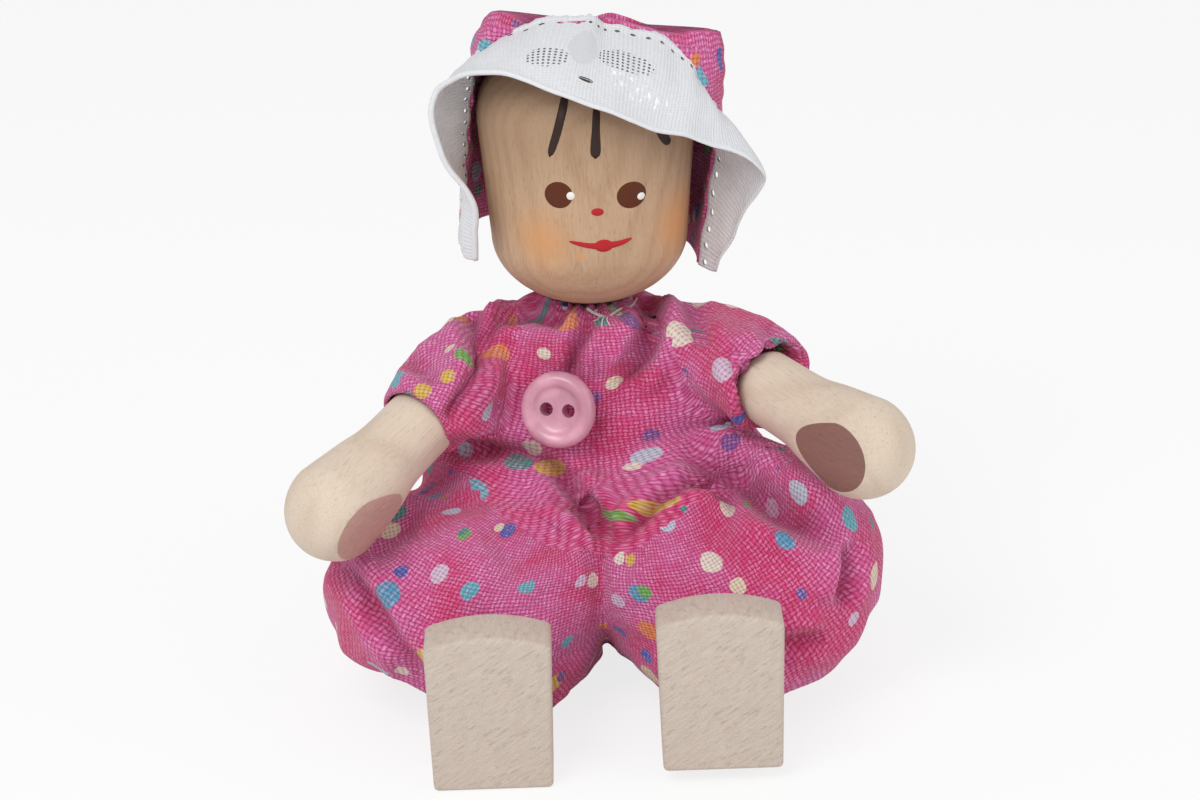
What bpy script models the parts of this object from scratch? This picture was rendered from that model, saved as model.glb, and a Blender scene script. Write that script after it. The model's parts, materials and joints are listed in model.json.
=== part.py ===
"""Strung wooden doll in a romper and a bag hat, seated. Metres, +Z up, the face looks towards -Y."""
import math

import bmesh
import bpy
from mathutils import Matrix, Vector

MM = 0.001

# Fits
GAP = 0.35 * MM
CLOTH = 0.45 * MM
STRING_R = 0.65 * MM
STRING_PLAY = 0.30 * MM
KNOT_R = 1.45 * MM

# Torso
TORSO_H = 32.2 * MM
TORSO_R = 7.0 * MM
SHOULDER_R = 6.0 * MM
NECK_R = 3.9 * MM
NECK_H = 1.4 * MM
TORSO_EDGE = 1.0 * MM
HIP_FLAT = 0.8 * MM
HIP_FLAT_H = 10.0 * MM
HIP_H = 4.95 * MM
SHOULDER_DROP = 3.8 * MM
SHOULDER_FRONT = 2.4 * MM
KNOT_WELL_H = 12.5 * MM

# Head
HEAD_R = 9.9 * MM
JAW_R = 9.0 * MM
HEAD_H = 24.2 * MM
CHIN_H = 6.5 * MM
WIDEST_H = 17.6 * MM
DOME_FULLNESS = 1.2
NOD_LIMIT = math.radians(8.0)

# Arms
SHOULDER_REACH = 3.5 * MM
STRING_SHOWN = 9.2 * MM
ARM_L = 19.0 * MM
ARM_R = 3.3 * MM
WRIST_R = 3.4 * MM
HAND_R = 4.6 * MM
HAND_FROM_TIP = 4.9 * MM
PALM_DEPTH = 1.2 * MM
ARM_BORE_L = 7.0 * MM
ARM_SPREAD = math.radians(35.5)
ARM_RAISE = {"left": math.radians(81.0), "right": math.radians(66.0)}
PALM_AIM = {"left": (-0.45, -0.87, -0.02), "right": (0.60, -0.62, -0.34)}

# Legs and feet
HIP_PLAY = 0.6 * MM
LEG_R = 3.2 * MM
LEG_L = 27.7 * MM
TENON_R = 2.4 * MM
TENON_L = 3.0 * MM
FOOT_L = 14.6 * MM
FOOT_T = 5.3 * MM
TOE_W = 11.0 * MM
HEEL_W = 10.4 * MM
TOE_RISE = 1.05 * MM
FOOT_EDGE = 0.45 * MM
LEG_RAISE = {"left": math.radians(2.2), "right": 0.0}

# Romper, all eases are over the body under the cloth
COLLAR_RISE = 0.4 * MM
SEAT_RISE = 15.0 * MM
SEAT_CORNER = 1.6 * MM
CENTRE_GAP = 0.35 * MM
TROUSER_OUT = 15.2 * MM
CUFF_EASE = 1.15 * MM
CUFF_TAPER = 0.5 * MM
CUFF_TAPER_L = 1.4 * MM
CUFF_TO_FOOT = 0.6 * MM
SLEEVE_R = 4.4 * MM
SLEEVE_HEM_R = 4.4 * MM
SLEEVE_OVER_ARM = 2.4 * MM
SLEEVE_DROP = 0.9 * MM
SLEEVE_PUFF = 2.0 * MM
THREAD_R = 0.22 * MM
FOLD_DEPTH = 0.8 * MM
BODICE_SQUARE = 2.3
TROUSER_SQUARE = 2.6
INSEAM_SQUARE = 4.0
# one step of the cloth patterns, which are drawn in these steps
PATTERN = 1.0 * MM
# drop below the collar, then side, front and back ease
BODICE_FORM = (
    (0.0, 0.90, 0.90, 0.90),
    (0.55, 0.90, 0.90, 0.90),
    (0.95, 3.90, 2.40, 2.20),
    (1.8, 5.40, 3.50, 2.80),
    (3.2, 3.90, 2.10, 1.40),
    (6.2, 4.30, 2.50, 1.50),
    (10.2, 4.90, 3.30, 1.80),
    (13.8, 4.80, 3.60, 2.10),
    (17.2, 4.60, 2.90, 2.20),
)
# forward of the hip, draw-in of the inner side, of the outer side, lift of the underside, drop of the top
THIGH_FORM = (
    (-8.9, 3.4, 9.0, 3.6, 6.4),
    (-8.2, 0.6, 5.0, 1.0, 2.9),
    (-5.0, 0.0, 2.6, 0.1, 0.9),
    (0.0, 0.0, 1.2, 0.0, 0.3),
    (5.0, 0.0, 0.3, 0.0, 0.2),
    (8.4, 0.0, 0.0, 0.0, 0.1),
    (10.6, 0.0, 0.0, 0.0, 0.0),
    (11.6, 0.0, 0.0, 0.0, -2.4),
    (13.4, 0.0, 0.2, 0.0, -4.0),
)
# the same, with its first number short of the cuff
SHIN_FORM = (
    (8.7, 0.0, 1.0, 0.1, -3.2),
    (5.1, 0.2, 2.8, 0.5, -1.2),
    (2.3, 0.9, 5.4, 0.9, 1.6),
    (0.7, 2.4, 8.2, 1.2, 4.0),
)

# Button
BUTTON_R = 3.5 * MM
BUTTON_T = 1.9 * MM
BUTTON_HOLE_R = 0.62 * MM
BUTTON_HOLES_APART = 2.1 * MM
BUTTON_DROP = 7.4 * MM
BUTTON_ASIDE = 2.4 * MM
BUTTON_TURN = math.radians(12.0)
# shares of the button's radius and thickness, from the middle of its back to the middle of its dish
BUTTON_FORM = (
    (0.0, 0.0), (0.74, 0.0), (0.94, 0.25), (1.0, 0.55), (0.95, 0.84),
    (0.82, 1.0), (0.68, 0.94), (0.55, 0.76), (0.0, 0.70),
)

# Hat
HAT_EASE = 1.1 * MM
HAT_TILT = math.radians(7.5)
CROWN_RISE = 2.45 * MM
CROWN_SAG = 0.9 * MM
EAR_RISE = 0.6 * MM
FACE_CUT = 1.6 * MM
# height below the crown's top, drawn in at the sides, drawn in at the back, squareness
CROWN_FORM = (
    (0.0, 1.0, 10.5, 1.7),
    (1.2, 0.5, 6.4, 1.7),
    (3.0, 0.1, 3.3, 1.9),
    (5.6, 0.0, 0.9, 2.0),
    (9.0, 0.0, 0.0, 2.0),
    (17.0, 0.1, 0.1, 2.0),
    (22.0, 0.3, 0.3, 2.0),
)
# seam of the brim: share of the crown's half width, drop below the crown's top
BRIM_SEAM = (
    (-1.0, 21.9), (-1.0, 19.0), (-1.0, 16.0), (-1.0, 12.5), (-1.0, 9.0), (-1.0, 5.8),
    (-1.0, 3.0), (-0.62, 1.2), (-0.17, 0.6), (0.3, 0.75), (0.62, 1.2), (0.95, 2.5),
    (1.0, 5.8), (1.0, 9.5), (1.0, 13.0), (1.0, 17.0), (1.0, 21.9),
)
# free edge of the brim: aside, forward, drop below the crown's top
BRIM_EDGE = (
    (-9.5, 5.6, 22.0), (-9.8, 6.2, 19.3), (-9.9, 6.8, 16.5), (-12.6, 7.0, 13.2), (-14.2, 6.8, 9.5),
    (-13.9, 6.5, 5.8), (-10.2, 9.3, 3.4), (-6.3, 11.3, 3.2), (-3.0, 12.3, 3.95), (0.5, 12.6, 4.8),
    (3.9, 12.2, 5.9), (7.7, 10.8, 7.1), (12.0, 9.0, 8.4), (15.4, 7.8, 11.0), (14.2, 6.6, 14.6),
    (13.5, 5.5, 18.1), (11.6, 3.8, 21.6),
)
BRIM_BOW = 0.5 * MM

# Facets
TURNED_SIDES = 28
STRING_SIDES = 10
CLOTH_SIDES = 32
SLEEVE_SIDES = 20
SMALL_SIDES = 24
HOLE_SIDES = 14

# Places worked out from the sizes
TORSO_Z = CLOTH + GAP
TORSO_TOP = TORSO_Z + TORSO_H
HIP_Z = TORSO_Z + HIP_H
FLAT_X = TORSO_R - HIP_FLAT
LEG_X = FLAT_X + HIP_PLAY + LEG_R
SHOULDER_Z = TORSO_TOP - SHOULDER_DROP
SHOULDER_X = SHOULDER_R + SHOULDER_REACH
STRING_HOLE_R = STRING_R + STRING_PLAY
KNOT_WELL_R = KNOT_R + 2 * STRING_PLAY
HEAD_Z = TORSO_TOP + GAP
HEAD_TOP = HEAD_Z + HEAD_H
NOD_Z = HEAD_Z + CHIN_H
COLLAR_Z = TORSO_TOP + COLLAR_RISE
HEM_Z = COLLAR_Z - BODICE_FORM[-1][0] * PATTERN
SEAT_INNER = TORSO_R + GAP
CROWN_TOP = HEAD_TOP + CROWN_RISE
CROWN_R = HEAD_R + HAT_EASE + CLOTH
SIDES = {"left": 1.0, "right": -1.0}


def clear_scene():
    """Remove whatever the file held before."""
    for item in list(bpy.data.objects):
        bpy.data.objects.remove(item, do_unlink=True)


def finish(name, colour, roughness, metallic=0.0):
    """Make one plain surface finish."""
    material = bpy.data.materials.new(name)
    material.use_nodes = True
    shader = material.node_tree.nodes["Principled BSDF"]
    shader.inputs["Base Color"].default_value = (*colour, 1.0)
    shader.inputs["Roughness"].default_value = roughness
    shader.inputs["Metallic"].default_value = metallic
    return material


def add_object(name, bm, material, place=None, parent=None, smooth=True):
    """Turn a bmesh into a named object that stands at its place under its parent."""
    mesh = bpy.data.meshes.new(name)
    bm.to_mesh(mesh)
    bm.free()
    if smooth:
        mesh.shade_smooth()
        mesh.set_sharp_from_angle(angle=math.radians(40.0))
    item = bpy.data.objects.new(name, mesh)
    bpy.context.scene.collection.objects.link(item)
    item.data.materials.append(material)
    attach(item, place or Matrix.Identity(4), parent)
    return item


def attach(item, place, parent):
    """Stand an object at a world place, held by its parent's empty."""
    if parent is not None:
        item.parent = parent
        item.matrix_parent_inverse = parent.matrix_basis.inverted()
    item.matrix_basis = place


def pivot(name, point):
    """Make the empty that carries a moving piece, on its joint's axis."""
    empty = bpy.data.objects.new(name, None)
    bpy.context.scene.collection.objects.link(empty)
    empty.matrix_basis = Matrix.Translation(point)
    return empty


def cutter(name, bm, place=None):
    """Make a hidden shape that only cuts."""
    mesh = bpy.data.meshes.new(name)
    bm.to_mesh(mesh)
    bm.free()
    item = bpy.data.objects.new(name, mesh)
    bpy.context.scene.collection.objects.link(item)
    item.matrix_basis = place or Matrix.Identity(4)
    item.hide_render = True
    item.display_type = "WIRE"
    return item


def cut(item, tool):
    """Take the tool's shape out of the item."""
    step = item.modifiers.new(tool.name, "BOOLEAN")
    step.operation = "DIFFERENCE"
    step.object = tool


def thicken(item):
    """Give a cloth surface its thickness, inwards."""
    step = item.modifiers.new("cloth", "SOLIDIFY")
    step.thickness = CLOTH
    step.offset = -1.0
    step.use_even_offset = True


def turned(profile, sides=TURNED_SIDES):
    """Spin a profile of (radius, height) points round Z into a closed body."""
    bm = bmesh.new()
    line = [bm.verts.new((radius, 0.0, height)) for radius, height in profile]
    edges = [bm.edges.new(pair) for pair in zip(line, line[1:])]
    if profile[0][0] > 0.0:
        edges.append(bm.edges.new((line[-1], line[0])))
    bmesh.ops.spin(bm, geom=line + edges, cent=(0, 0, 0), axis=(0, 0, 1), angle=2 * math.pi, steps=sides,
                   use_merge=True)
    bmesh.ops.remove_doubles(bm, verts=bm.verts, dist=1e-7)
    bmesh.ops.recalc_face_normals(bm, faces=bm.faces)
    return bm


def rod(radius, start, end, sides=STRING_SIDES):
    """Make a closed round rod along Z."""
    return turned(((0.0, start), (radius, start), (radius, end), (0.0, end)), sides)


def box(low, high):
    """Make a box between two corners."""
    bm = bmesh.new()
    bmesh.ops.create_cube(bm, size=1.0)
    low, high = Vector(low), Vector(high)
    bmesh.ops.scale(bm, vec=high - low, verts=bm.verts)
    bmesh.ops.translate(bm, vec=(low + high) / 2, verts=bm.verts)
    return bm


def loft(rings, cap_start=False, cap_end=False):
    """Skin closed rings of points, with a flat cap where asked."""
    bm = bmesh.new()
    loops = [[bm.verts.new(point) for point in ring] for ring in rings]
    for near, far in zip(loops, loops[1:]):
        for k in range(len(near)):
            after = (k + 1) % len(near)
            bm.faces.new((near[k], near[after], far[after], far[k]))
    if cap_start:
        bm.faces.new(loops[0])
    if cap_end:
        bm.faces.new(loops[-1])
    bmesh.ops.recalc_face_normals(bm, faces=bm.faces)
    middle = sum((Vector(point) for ring in rings for point in ring), Vector()) / sum(map(len, rings))
    if sum(face.normal.dot(face.calc_center_median() - middle) for face in bm.faces) < 0:
        bmesh.ops.reverse_faces(bm, faces=bm.faces)
    return bm


def smooth_path(points, steps):
    """Read points along a smooth curve through the given ones."""
    points = [Vector(point) for point in points]
    ends = [2 * points[0] - points[1]] + points + [2 * points[-1] - points[-2]]
    path = []
    for k in range(len(points) - 1):
        before, start, stop, after = ends[k:k + 4]
        for step in range(steps):
            t = step / steps
            path.append(0.5 * (2 * start + (stop - before) * t
                               + (2 * before - 5 * start + 4 * stop - after) * t * t
                               + (3 * start - before - 3 * stop + after) * t ** 3))
    path.append(points[-1])
    return path


def between(table, key, column):
    """Read a table's column, in millimetres, straight between its rows."""
    for low, high in zip(table, table[1:]):
        if key <= high[0]:
            share = max(0.0, (key - low[0]) / (high[0] - low[0]))
            return low[column] + share * (high[column] - low[column])
    return table[-1][column]


def along(axis, up=(0.0, 0.0, 1.0)):
    """Turn Z to the axis, with Y as near to up as it goes."""
    forward = Vector(axis).normalized()
    side = Vector(up).cross(forward).normalized()
    return Matrix((side, forward.cross(side), forward)).transposed().to_4x4()


ACROSS = along((1.0, 0.0, 0.0))


def torso_profile():
    """Outline of the turned torso, radius by height over the floor."""
    shoulder = SHOULDER_Z + SHOULDER_DROP / 4
    return (
        (TORSO_R - TORSO_EDGE, TORSO_Z),
        (TORSO_R, TORSO_Z + TORSO_EDGE),
        (TORSO_R, TORSO_Z + TORSO_H / 2),
        ((TORSO_R + SHOULDER_R) / 2, SHOULDER_Z - SHOULDER_DROP),
        (SHOULDER_R, shoulder),
        (NECK_R, TORSO_TOP - NECK_H),
        (NECK_R, TORSO_TOP - NECK_H / 4),
        (NECK_R - NECK_H / 4, TORSO_TOP),
    )


def torso_radius(height):
    """Radius of the torso at a height."""
    profile = torso_profile()
    for low, high in zip(profile, profile[1:]):
        if height <= high[1]:
            share = max(0.0, (height - low[1]) / (high[1] - low[1]))
            return low[0] + share * (high[0] - low[0])
    return NECK_R


def make_torso(wood):
    """Turned torso with its string holes, hip flats and knot well."""
    well_top = TORSO_Z + KNOT_WELL_H
    inner = (
        (STRING_HOLE_R, TORSO_TOP),
        (STRING_HOLE_R, well_top),
        (KNOT_WELL_R, well_top),
        (KNOT_WELL_R, TORSO_Z),
    )
    torso = add_object("torso", turned(torso_profile() + inner), wood)
    reach = 2 * TORSO_R
    for name, y, z in (("shoulder_hole", -SHOULDER_FRONT, SHOULDER_Z), ("hip_hole", 0.0, HIP_Z)):
        place = Matrix.Translation((0.0, y, z)) @ ACROSS
        cut(torso, cutter(name, rod(STRING_HOLE_R, -reach, reach), place))
    for side, sign in SIDES.items():
        xs = sorted((sign * FLAT_X, sign * reach))
        flat = box((xs[0], -reach, -reach), (xs[1], reach, TORSO_Z + HIP_FLAT_H))
        cut(torso, cutter("hip_flat_" + side, flat))


def head_outline():
    """Outline of the head from its string mouth round the chin to the string hole on top."""
    mouth = STRING_HOLE_R + CHIN_H * math.tan(NOD_LIMIT) + STRING_PLAY
    first = math.asin(mouth / JAW_R)
    steps = 7
    outline = []
    for k in range(steps + 1):
        angle = first + (math.pi / 2 - first) * k / steps
        outline.append((JAW_R * math.sin(angle), HEAD_Z + CHIN_H * (1 - math.cos(angle))))
    outline.append(((JAW_R + HEAD_R) / 2, HEAD_Z + (CHIN_H + WIDEST_H) / 2))
    last = math.acos((KNOT_WELL_R / HEAD_R) ** DOME_FULLNESS)
    dome = HEAD_H - WIDEST_H
    for k in range(steps + 1):
        angle = last * k / steps
        radius = HEAD_R * math.cos(angle) ** (1 / DOME_FULLNESS)
        rise = dome * math.sin(angle) ** (1 / DOME_FULLNESS)
        outline.append((radius, HEAD_Z + WIDEST_H + rise))
    return outline


def make_head(wood, turn_pivot):
    """Turned head, drilled through for its string, with a seat for the knot."""
    throat = STRING_HOLE_R + KNOT_R * math.tan(NOD_LIMIT) + STRING_PLAY / 2
    seat = NOD_Z - math.sqrt(KNOT_WELL_R ** 2 - throat ** 2)
    inner = [(KNOT_WELL_R, NOD_Z), ((KNOT_WELL_R + throat) / 2, (NOD_Z + 2 * seat) / 3), (throat, seat)]
    add_object("head", turned(head_outline() + inner), wood, parent=turn_pivot)


def make_neck_string(string, turn_pivot):
    """Neck string with a round knot at each end."""
    low = TORSO_Z + KNOT_WELL_H - GAP - KNOT_R
    profile = []
    steps = 5
    start = math.asin(STRING_R / KNOT_R)
    for k in range(steps + 1):
        angle = math.pi - (math.pi - start) * k / steps
        profile.append((KNOT_R * math.sin(angle) if k else 0.0, low + KNOT_R * math.cos(angle)))
    for k in range(steps + 1):
        angle = math.pi - start - (math.pi - start) * k / steps
        profile.append((KNOT_R * math.sin(angle) if k < steps else 0.0, NOD_Z + KNOT_R * math.cos(angle)))
    add_object("neck_string", turned(profile, STRING_SIDES), string, parent=turn_pivot)


def make_hip_string(string):
    """Hip string through torso and legs, with a knot outside each leg."""
    knot = LEG_X + LEG_R + GAP + KNOT_R
    profile = []
    steps = 5
    start = math.asin(STRING_R / KNOT_R)
    for k in range(steps + 1):
        angle = math.pi - (math.pi - start) * k / steps
        profile.append((KNOT_R * math.sin(angle) if k else 0.0, KNOT_R * math.cos(angle) - knot))
    profile += [(radius, -height) for radius, height in reversed(profile)]
    place = Matrix.Translation((0.0, 0.0, HIP_Z)) @ ACROSS
    add_object("hip_string", turned(profile, STRING_SIDES), string, place)


def shoulder_point(side):
    """Where a side's arm string turns."""
    return Vector((SIDES[side] * SHOULDER_X, -SHOULDER_FRONT, SHOULDER_Z))


def arm_axis(side):
    """Direction from the shoulder to the hand."""
    flat = math.cos(ARM_SPREAD)
    raised = ARM_RAISE[side]
    return Vector((SIDES[side] * math.sin(ARM_SPREAD), -flat * math.sin(raised), -flat * math.cos(raised)))


def make_arm(side, wood, string, shoulder):
    """Turned arm with a bulb hand and a sawn palm, hung on its string end."""
    tip = STRING_SHOWN + ARM_L
    hand = tip - HAND_FROM_TIP
    bore = STRING_SHOWN + ARM_BORE_L
    edge = ARM_R / 5
    wrist = STRING_SHOWN + (hand - STRING_SHOWN) / 2
    profile = [(0.0, bore), (STRING_HOLE_R, bore), (STRING_HOLE_R, STRING_SHOWN)]
    profile.append((ARM_R - edge, STRING_SHOWN))
    outline = (
        (ARM_R, 0.0, STRING_SHOWN + edge),
        (WRIST_R, 0.0, wrist - edge),
        ((ARM_R + HAND_R) / 2, 0.0, wrist + 4 * edge),
        (HAND_R, 0.0, hand),
    )
    profile += [(point.x, point.z) for point in smooth_path(outline, 2)]
    steps = 6
    for k in range(1, steps + 1):
        angle = math.pi / 2 * k / steps
        radius = HAND_R * math.cos(angle) if k < steps else 0.0
        profile.append((radius, hand + HAND_FROM_TIP * math.sin(angle)))
    axis = arm_axis(side)
    place = Matrix.Translation(shoulder_point(side)) @ along(axis)
    arm = add_object("arm_" + side, turned(profile), wood, place, shoulder)
    aim = Vector(PALM_AIM[side])
    aim = (aim - aim.dot(axis) * axis).normalized()
    wide = 2 * HAND_R
    palm = box((-wide, -wide, HAND_R - PALM_DEPTH), (wide, wide, wide))
    palm_place = Matrix.Translation(shoulder_point(side) + axis * hand) @ along(aim, axis)
    cut(arm, cutter("palm_" + side, palm, palm_place))
    end = rod(STRING_R, STRING_R + GAP, bore - GAP)
    add_object("arm_string_" + side, end, string, place, shoulder)


def make_shoulder_string(string):
    """Straight middle of the arm string, from shoulder to shoulder."""
    half = SHOULDER_X - GAP
    place = Matrix.Translation((0.0, -SHOULDER_FRONT, SHOULDER_Z)) @ ACROSS
    add_object("shoulder_string", rod(STRING_R, -half, half), string, place)


def hip_point(side):
    """Where a leg turns on the hip string."""
    return Vector((SIDES[side] * LEG_X, 0.0, HIP_Z))


def leg_place(side):
    """Stand of a leg: its own Z runs from the hip to the foot, its own Y points up."""
    lift = Matrix.Rotation(-LEG_RAISE[side], 4, "X")
    return Matrix.Translation(hip_point(side)) @ lift @ along((0.0, -1.0, 0.0))


def make_leg(side, wood, hip):
    """Leg dowel with a round top, a string hole and a tenon."""
    steps = 5
    profile = []
    for k in range(steps + 1):
        angle = math.pi / 2 * k / steps
        profile.append((LEG_R * math.sin(angle), -LEG_R * math.cos(angle)))
    step = LEG_L - GAP
    end = step + TENON_L
    profile += [(LEG_R, step), (TENON_R, step), (TENON_R, end), (0.0, end)]
    leg = add_object("leg_" + side, turned(profile, SMALL_SIDES), wood, leg_place(side), hip)
    hole = rod(STRING_HOLE_R, -2 * LEG_R, 2 * LEG_R)
    cut(leg, cutter("leg_hole_" + side, hole, Matrix.Translation(hip_point(side)) @ ACROSS))


def make_foot(side, wood, hip):
    """Foot block: straight heel, arched toe edge, softened edges and a hole for the tenon."""
    heel = -HIP_Z
    toe = heel + FOOT_L
    outline = [(-HEEL_W / 2, heel), (HEEL_W / 2, heel)]
    steps = 8
    for k in range(steps + 1):
        x = TOE_W / 2 - TOE_W * k / steps
        outline.append((x, toe - TOE_RISE * (2 * x / TOE_W) ** 2))
    bm = bmesh.new()
    sole = bm.faces.new([bm.verts.new((x, y, LEG_L + FOOT_T)) for x, y in outline])
    grown = bmesh.ops.extrude_face_region(bm, geom=[sole], use_keep_orig=True)
    back = [part for part in grown["geom"] if isinstance(part, bmesh.types.BMVert)]
    bmesh.ops.translate(bm, vec=(0.0, 0.0, -FOOT_T), verts=back)
    bmesh.ops.recalc_face_normals(bm, faces=bm.faces)
    foot = add_object("foot_" + side, bm, wood, leg_place(side), hip)
    soften = foot.modifiers.new("soft_edges", "BEVEL")
    soften.width = FOOT_EDGE
    soften.segments = 2
    soften.angle_limit = math.radians(40.0)
    hole = rod(TENON_R + STRING_PLAY, LEG_L - FOOT_T, LEG_L + TENON_L, SMALL_SIDES)
    cut(foot, cutter("foot_hole_" + side, hole, leg_place(side)))


def bodice_half(drop):
    """Side, front and back reach of the bodice at a drop below the collar."""
    body = torso_radius(COLLAR_Z - drop)
    return [body + between(BODICE_FORM, drop / PATTERN, column) * PATTERN for column in (1, 2, 3)]


def bodice_folds(angle, drop):
    """Outward push of the bodice's main folds; angle 0 is the centre front."""
    down = drop / (BODICE_FORM[-1][0] * PATTERN)
    below = min(1.0, 4 * down) * min(1.0, max(0.0, 6 * down - 0.5))
    seam = -0.5 * math.exp(-(angle / 0.16) ** 2) * below
    pleat = 0.5 * math.exp(-((angle + 0.42) / 0.20) ** 2) * math.sin(math.pi * min(1.0, 1.2 * down)) * below
    waist = math.exp(-((down - 0.80) / 0.16) ** 2)
    blouse = 0.6 * waist * math.cos(5 * angle + 0.4) - 0.3 * waist
    return FOLD_DEPTH * (seam + pleat + blouse)


def superpower(value, square):
    """Signed power that squares up a round outline."""
    return math.copysign(abs(value) ** (2 / square), value)


def bodice_point(angle, drop):
    """Point on the outside of the bodice; angle 0 is the centre front, the doll's left is positive."""
    side, front, back = bodice_half(drop)
    depth = front if abs(angle) < math.pi / 2 else back
    push = bodice_folds(angle, drop)
    x = (side + push) * superpower(math.sin(angle), BODICE_SQUARE)
    y = -(depth + push) * superpower(math.cos(angle), BODICE_SQUARE)
    return Vector((x, y, COLLAR_Z - drop))


def make_bodice(cloth):
    """Bodice shell from the gathered collar to the waist."""
    turn = 2 * math.pi / CLOTH_SIDES
    rings = []
    for row in BODICE_FORM:
        rings.append([bodice_point(turn * k - math.pi, row[0] * PATTERN) for k in range(CLOTH_SIDES)])
    bodice = add_object("romper_bodice", loft(rings), cloth)
    thicken(bodice)
    reach = 3 * TORSO_R
    place = Matrix.Translation((0.0, -SHOULDER_FRONT, SHOULDER_Z - SLEEVE_DROP)) @ ACROSS
    cut(bodice, cutter("armholes", rod(SLEEVE_R - 2 * CLOTH, -reach, reach, SLEEVE_SIDES), place))


def make_seat(cloth):
    """Strip of cloth that runs under the torso between the legs."""
    outer = SEAT_INNER + CLOTH
    top = SEAT_RISE
    corner = SEAT_CORNER
    quarter = [math.pi / 2 * k / 4 for k in range(5)]
    right = [(outer - corner + corner * math.cos(a), corner - corner * math.sin(a)) for a in quarter]
    inside = corner - CLOTH
    hollow = [(SEAT_INNER - inside + inside * math.cos(a), corner - inside * math.sin(a)) for a in quarter]
    half = [(outer, top)] + right
    other = [(-y, z) for y, z in reversed(half)]
    inner = [(SEAT_INNER, top)] + hollow
    outline = half + other + [(-y, z) for y, z in inner] + list(reversed(inner))
    bm = bmesh.new()
    face = bm.faces.new([bm.verts.new((-FLAT_X, y, z)) for y, z in outline])
    grown = bmesh.ops.extrude_face_region(bm, geom=[face], use_keep_orig=True)
    moved = [part for part in grown["geom"] if isinstance(part, bmesh.types.BMVert)]
    bmesh.ops.translate(bm, vec=(2 * FLAT_X, 0.0, 0.0), verts=moved)
    bmesh.ops.recalc_face_normals(bm, faces=bm.faces)
    add_object("romper_seat", bm, cloth, smooth=False)


def trouser_ring(side, forward, wide, high, fold=0.0):
    """One loop of a trouser leg, across the leg, with its folds."""
    middle_x, middle_z = sum(wide) / 2, sum(high) / 2
    half_x, half_z = (wide[1] - wide[0]) / 2, (high[1] - high[0]) / 2
    ring = []
    for k in range(CLOTH_SIDES):
        angle = 2 * math.pi * k / CLOTH_SIDES
        c, s = math.cos(angle), math.sin(angle)
        square = TROUSER_SQUARE if c > 0 or not fold else INSEAM_SQUARE
        wave = -fold * max(0.0, s) * (1 - math.cos(4 * angle + forward / (16 * PATTERN)))
        x = middle_x + (half_x + wave * abs(c)) * superpower(c, square)
        z = middle_z + (half_z + wave) * superpower(s, square)
        ring.append((SIDES[side] * x, -forward, z))
    return ring


def make_trouser(side, cloth, hip):
    """Baggy trouser leg, closed behind, gathered round the ankle, open towards the torso."""
    outer = LEG_X + TROUSER_OUT
    top = HEM_Z - GAP
    front = SEAT_INNER + CLOTH + GAP
    cuff = LEG_L - CUFF_TO_FOOT
    climb = math.sin(LEG_RAISE[side])
    rings = []
    taper = cuff - CUFF_TAPER_L
    rows = [(row[0] * PATTERN, row) for row in THIGH_FORM]
    rows += [(taper - row[0] * PATTERN, row) for row in SHIN_FORM]
    for forward, row in rows:
        draw_in, draw_out, lift, drop = [size * PATTERN for size in row[1:]]
        inner = FLAT_X + GAP if forward < GAP - front else CENTRE_GAP
        raised = climb * max(0.0, forward - front)
        wide = (inner + draw_in, outer - draw_out)
        high = (GAP + lift + raised, top - drop + raised)
        rings.append(trouser_ring(side, forward, wide, high, FOLD_DEPTH if forward > front else 0.0))
    ankle = LEG_R + CUFF_EASE
    for forward, reach in ((taper, ankle + CUFF_TAPER), (cuff, ankle)):
        middle = HIP_Z + climb * forward
        wide = (LEG_X - reach, LEG_X + reach)
        rings.append(trouser_ring(side, forward, wide, (middle - reach, middle + reach)))
    trouser = add_object("trouser_" + side, loft(rings, cap_start=True), cloth, parent=hip)
    thicken(trouser)
    low, high = sorted((0.0, SIDES[side] * (LEG_X - LEG_R + HIP_PLAY)))
    window = box((low, -front - 2 * HIP_PLAY, -HEM_Z), (high, front - GAP, 2 * HEM_Z))
    cut(trouser, cutter("hip_window_" + side, window))


def make_cuff_thread(side, thread, hip):
    """Thread that gathers a trouser leg round the ankle."""
    around = LEG_R + CUFF_EASE + GAP + THREAD_R
    forward = LEG_L - CUFF_TO_FOOT - THREAD_R
    height = HIP_Z + math.sin(LEG_RAISE[side]) * forward
    ring = []
    for k in range(CLOTH_SIDES):
        angle = 2 * math.pi * k / CLOTH_SIDES
        aside = LEG_X + around * superpower(math.cos(angle), TROUSER_SQUARE)
        rise = around * superpower(math.sin(angle), TROUSER_SQUARE)
        ring.append((SIDES[side] * aside, -forward, height + rise))
    add_tube("cuff_thread_" + side, ring, THREAD_R, thread, hip)


def add_tube(name, points, radius, material, parent=None):
    """Closed thread along points, as a bevelled curve."""
    curve = bpy.data.curves.new(name, "CURVE")
    curve.dimensions = "3D"
    curve.bevel_depth = radius
    curve.bevel_resolution = 1
    spline = curve.splines.new("POLY")
    spline.points.add(len(points) - 1)
    for spot, point in zip(spline.points, points):
        spot.co = (*point, 1.0)
    spline.use_cyclic_u = True
    item = bpy.data.objects.new(name, curve)
    bpy.context.scene.collection.objects.link(item)
    curve.materials.append(material)
    attach(item, Matrix.Identity(4), parent)


def bodice_side(y, z):
    """Half width of the bodice at a depth and height."""
    side, front, back = bodice_half(COLLAR_Z - z)
    share = min(0.98, abs(y) / (front if y < 0 else back))
    return side * (1 - share ** BODICE_SQUARE) ** (1 / BODICE_SQUARE) + FOLD_DEPTH / 2


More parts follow.
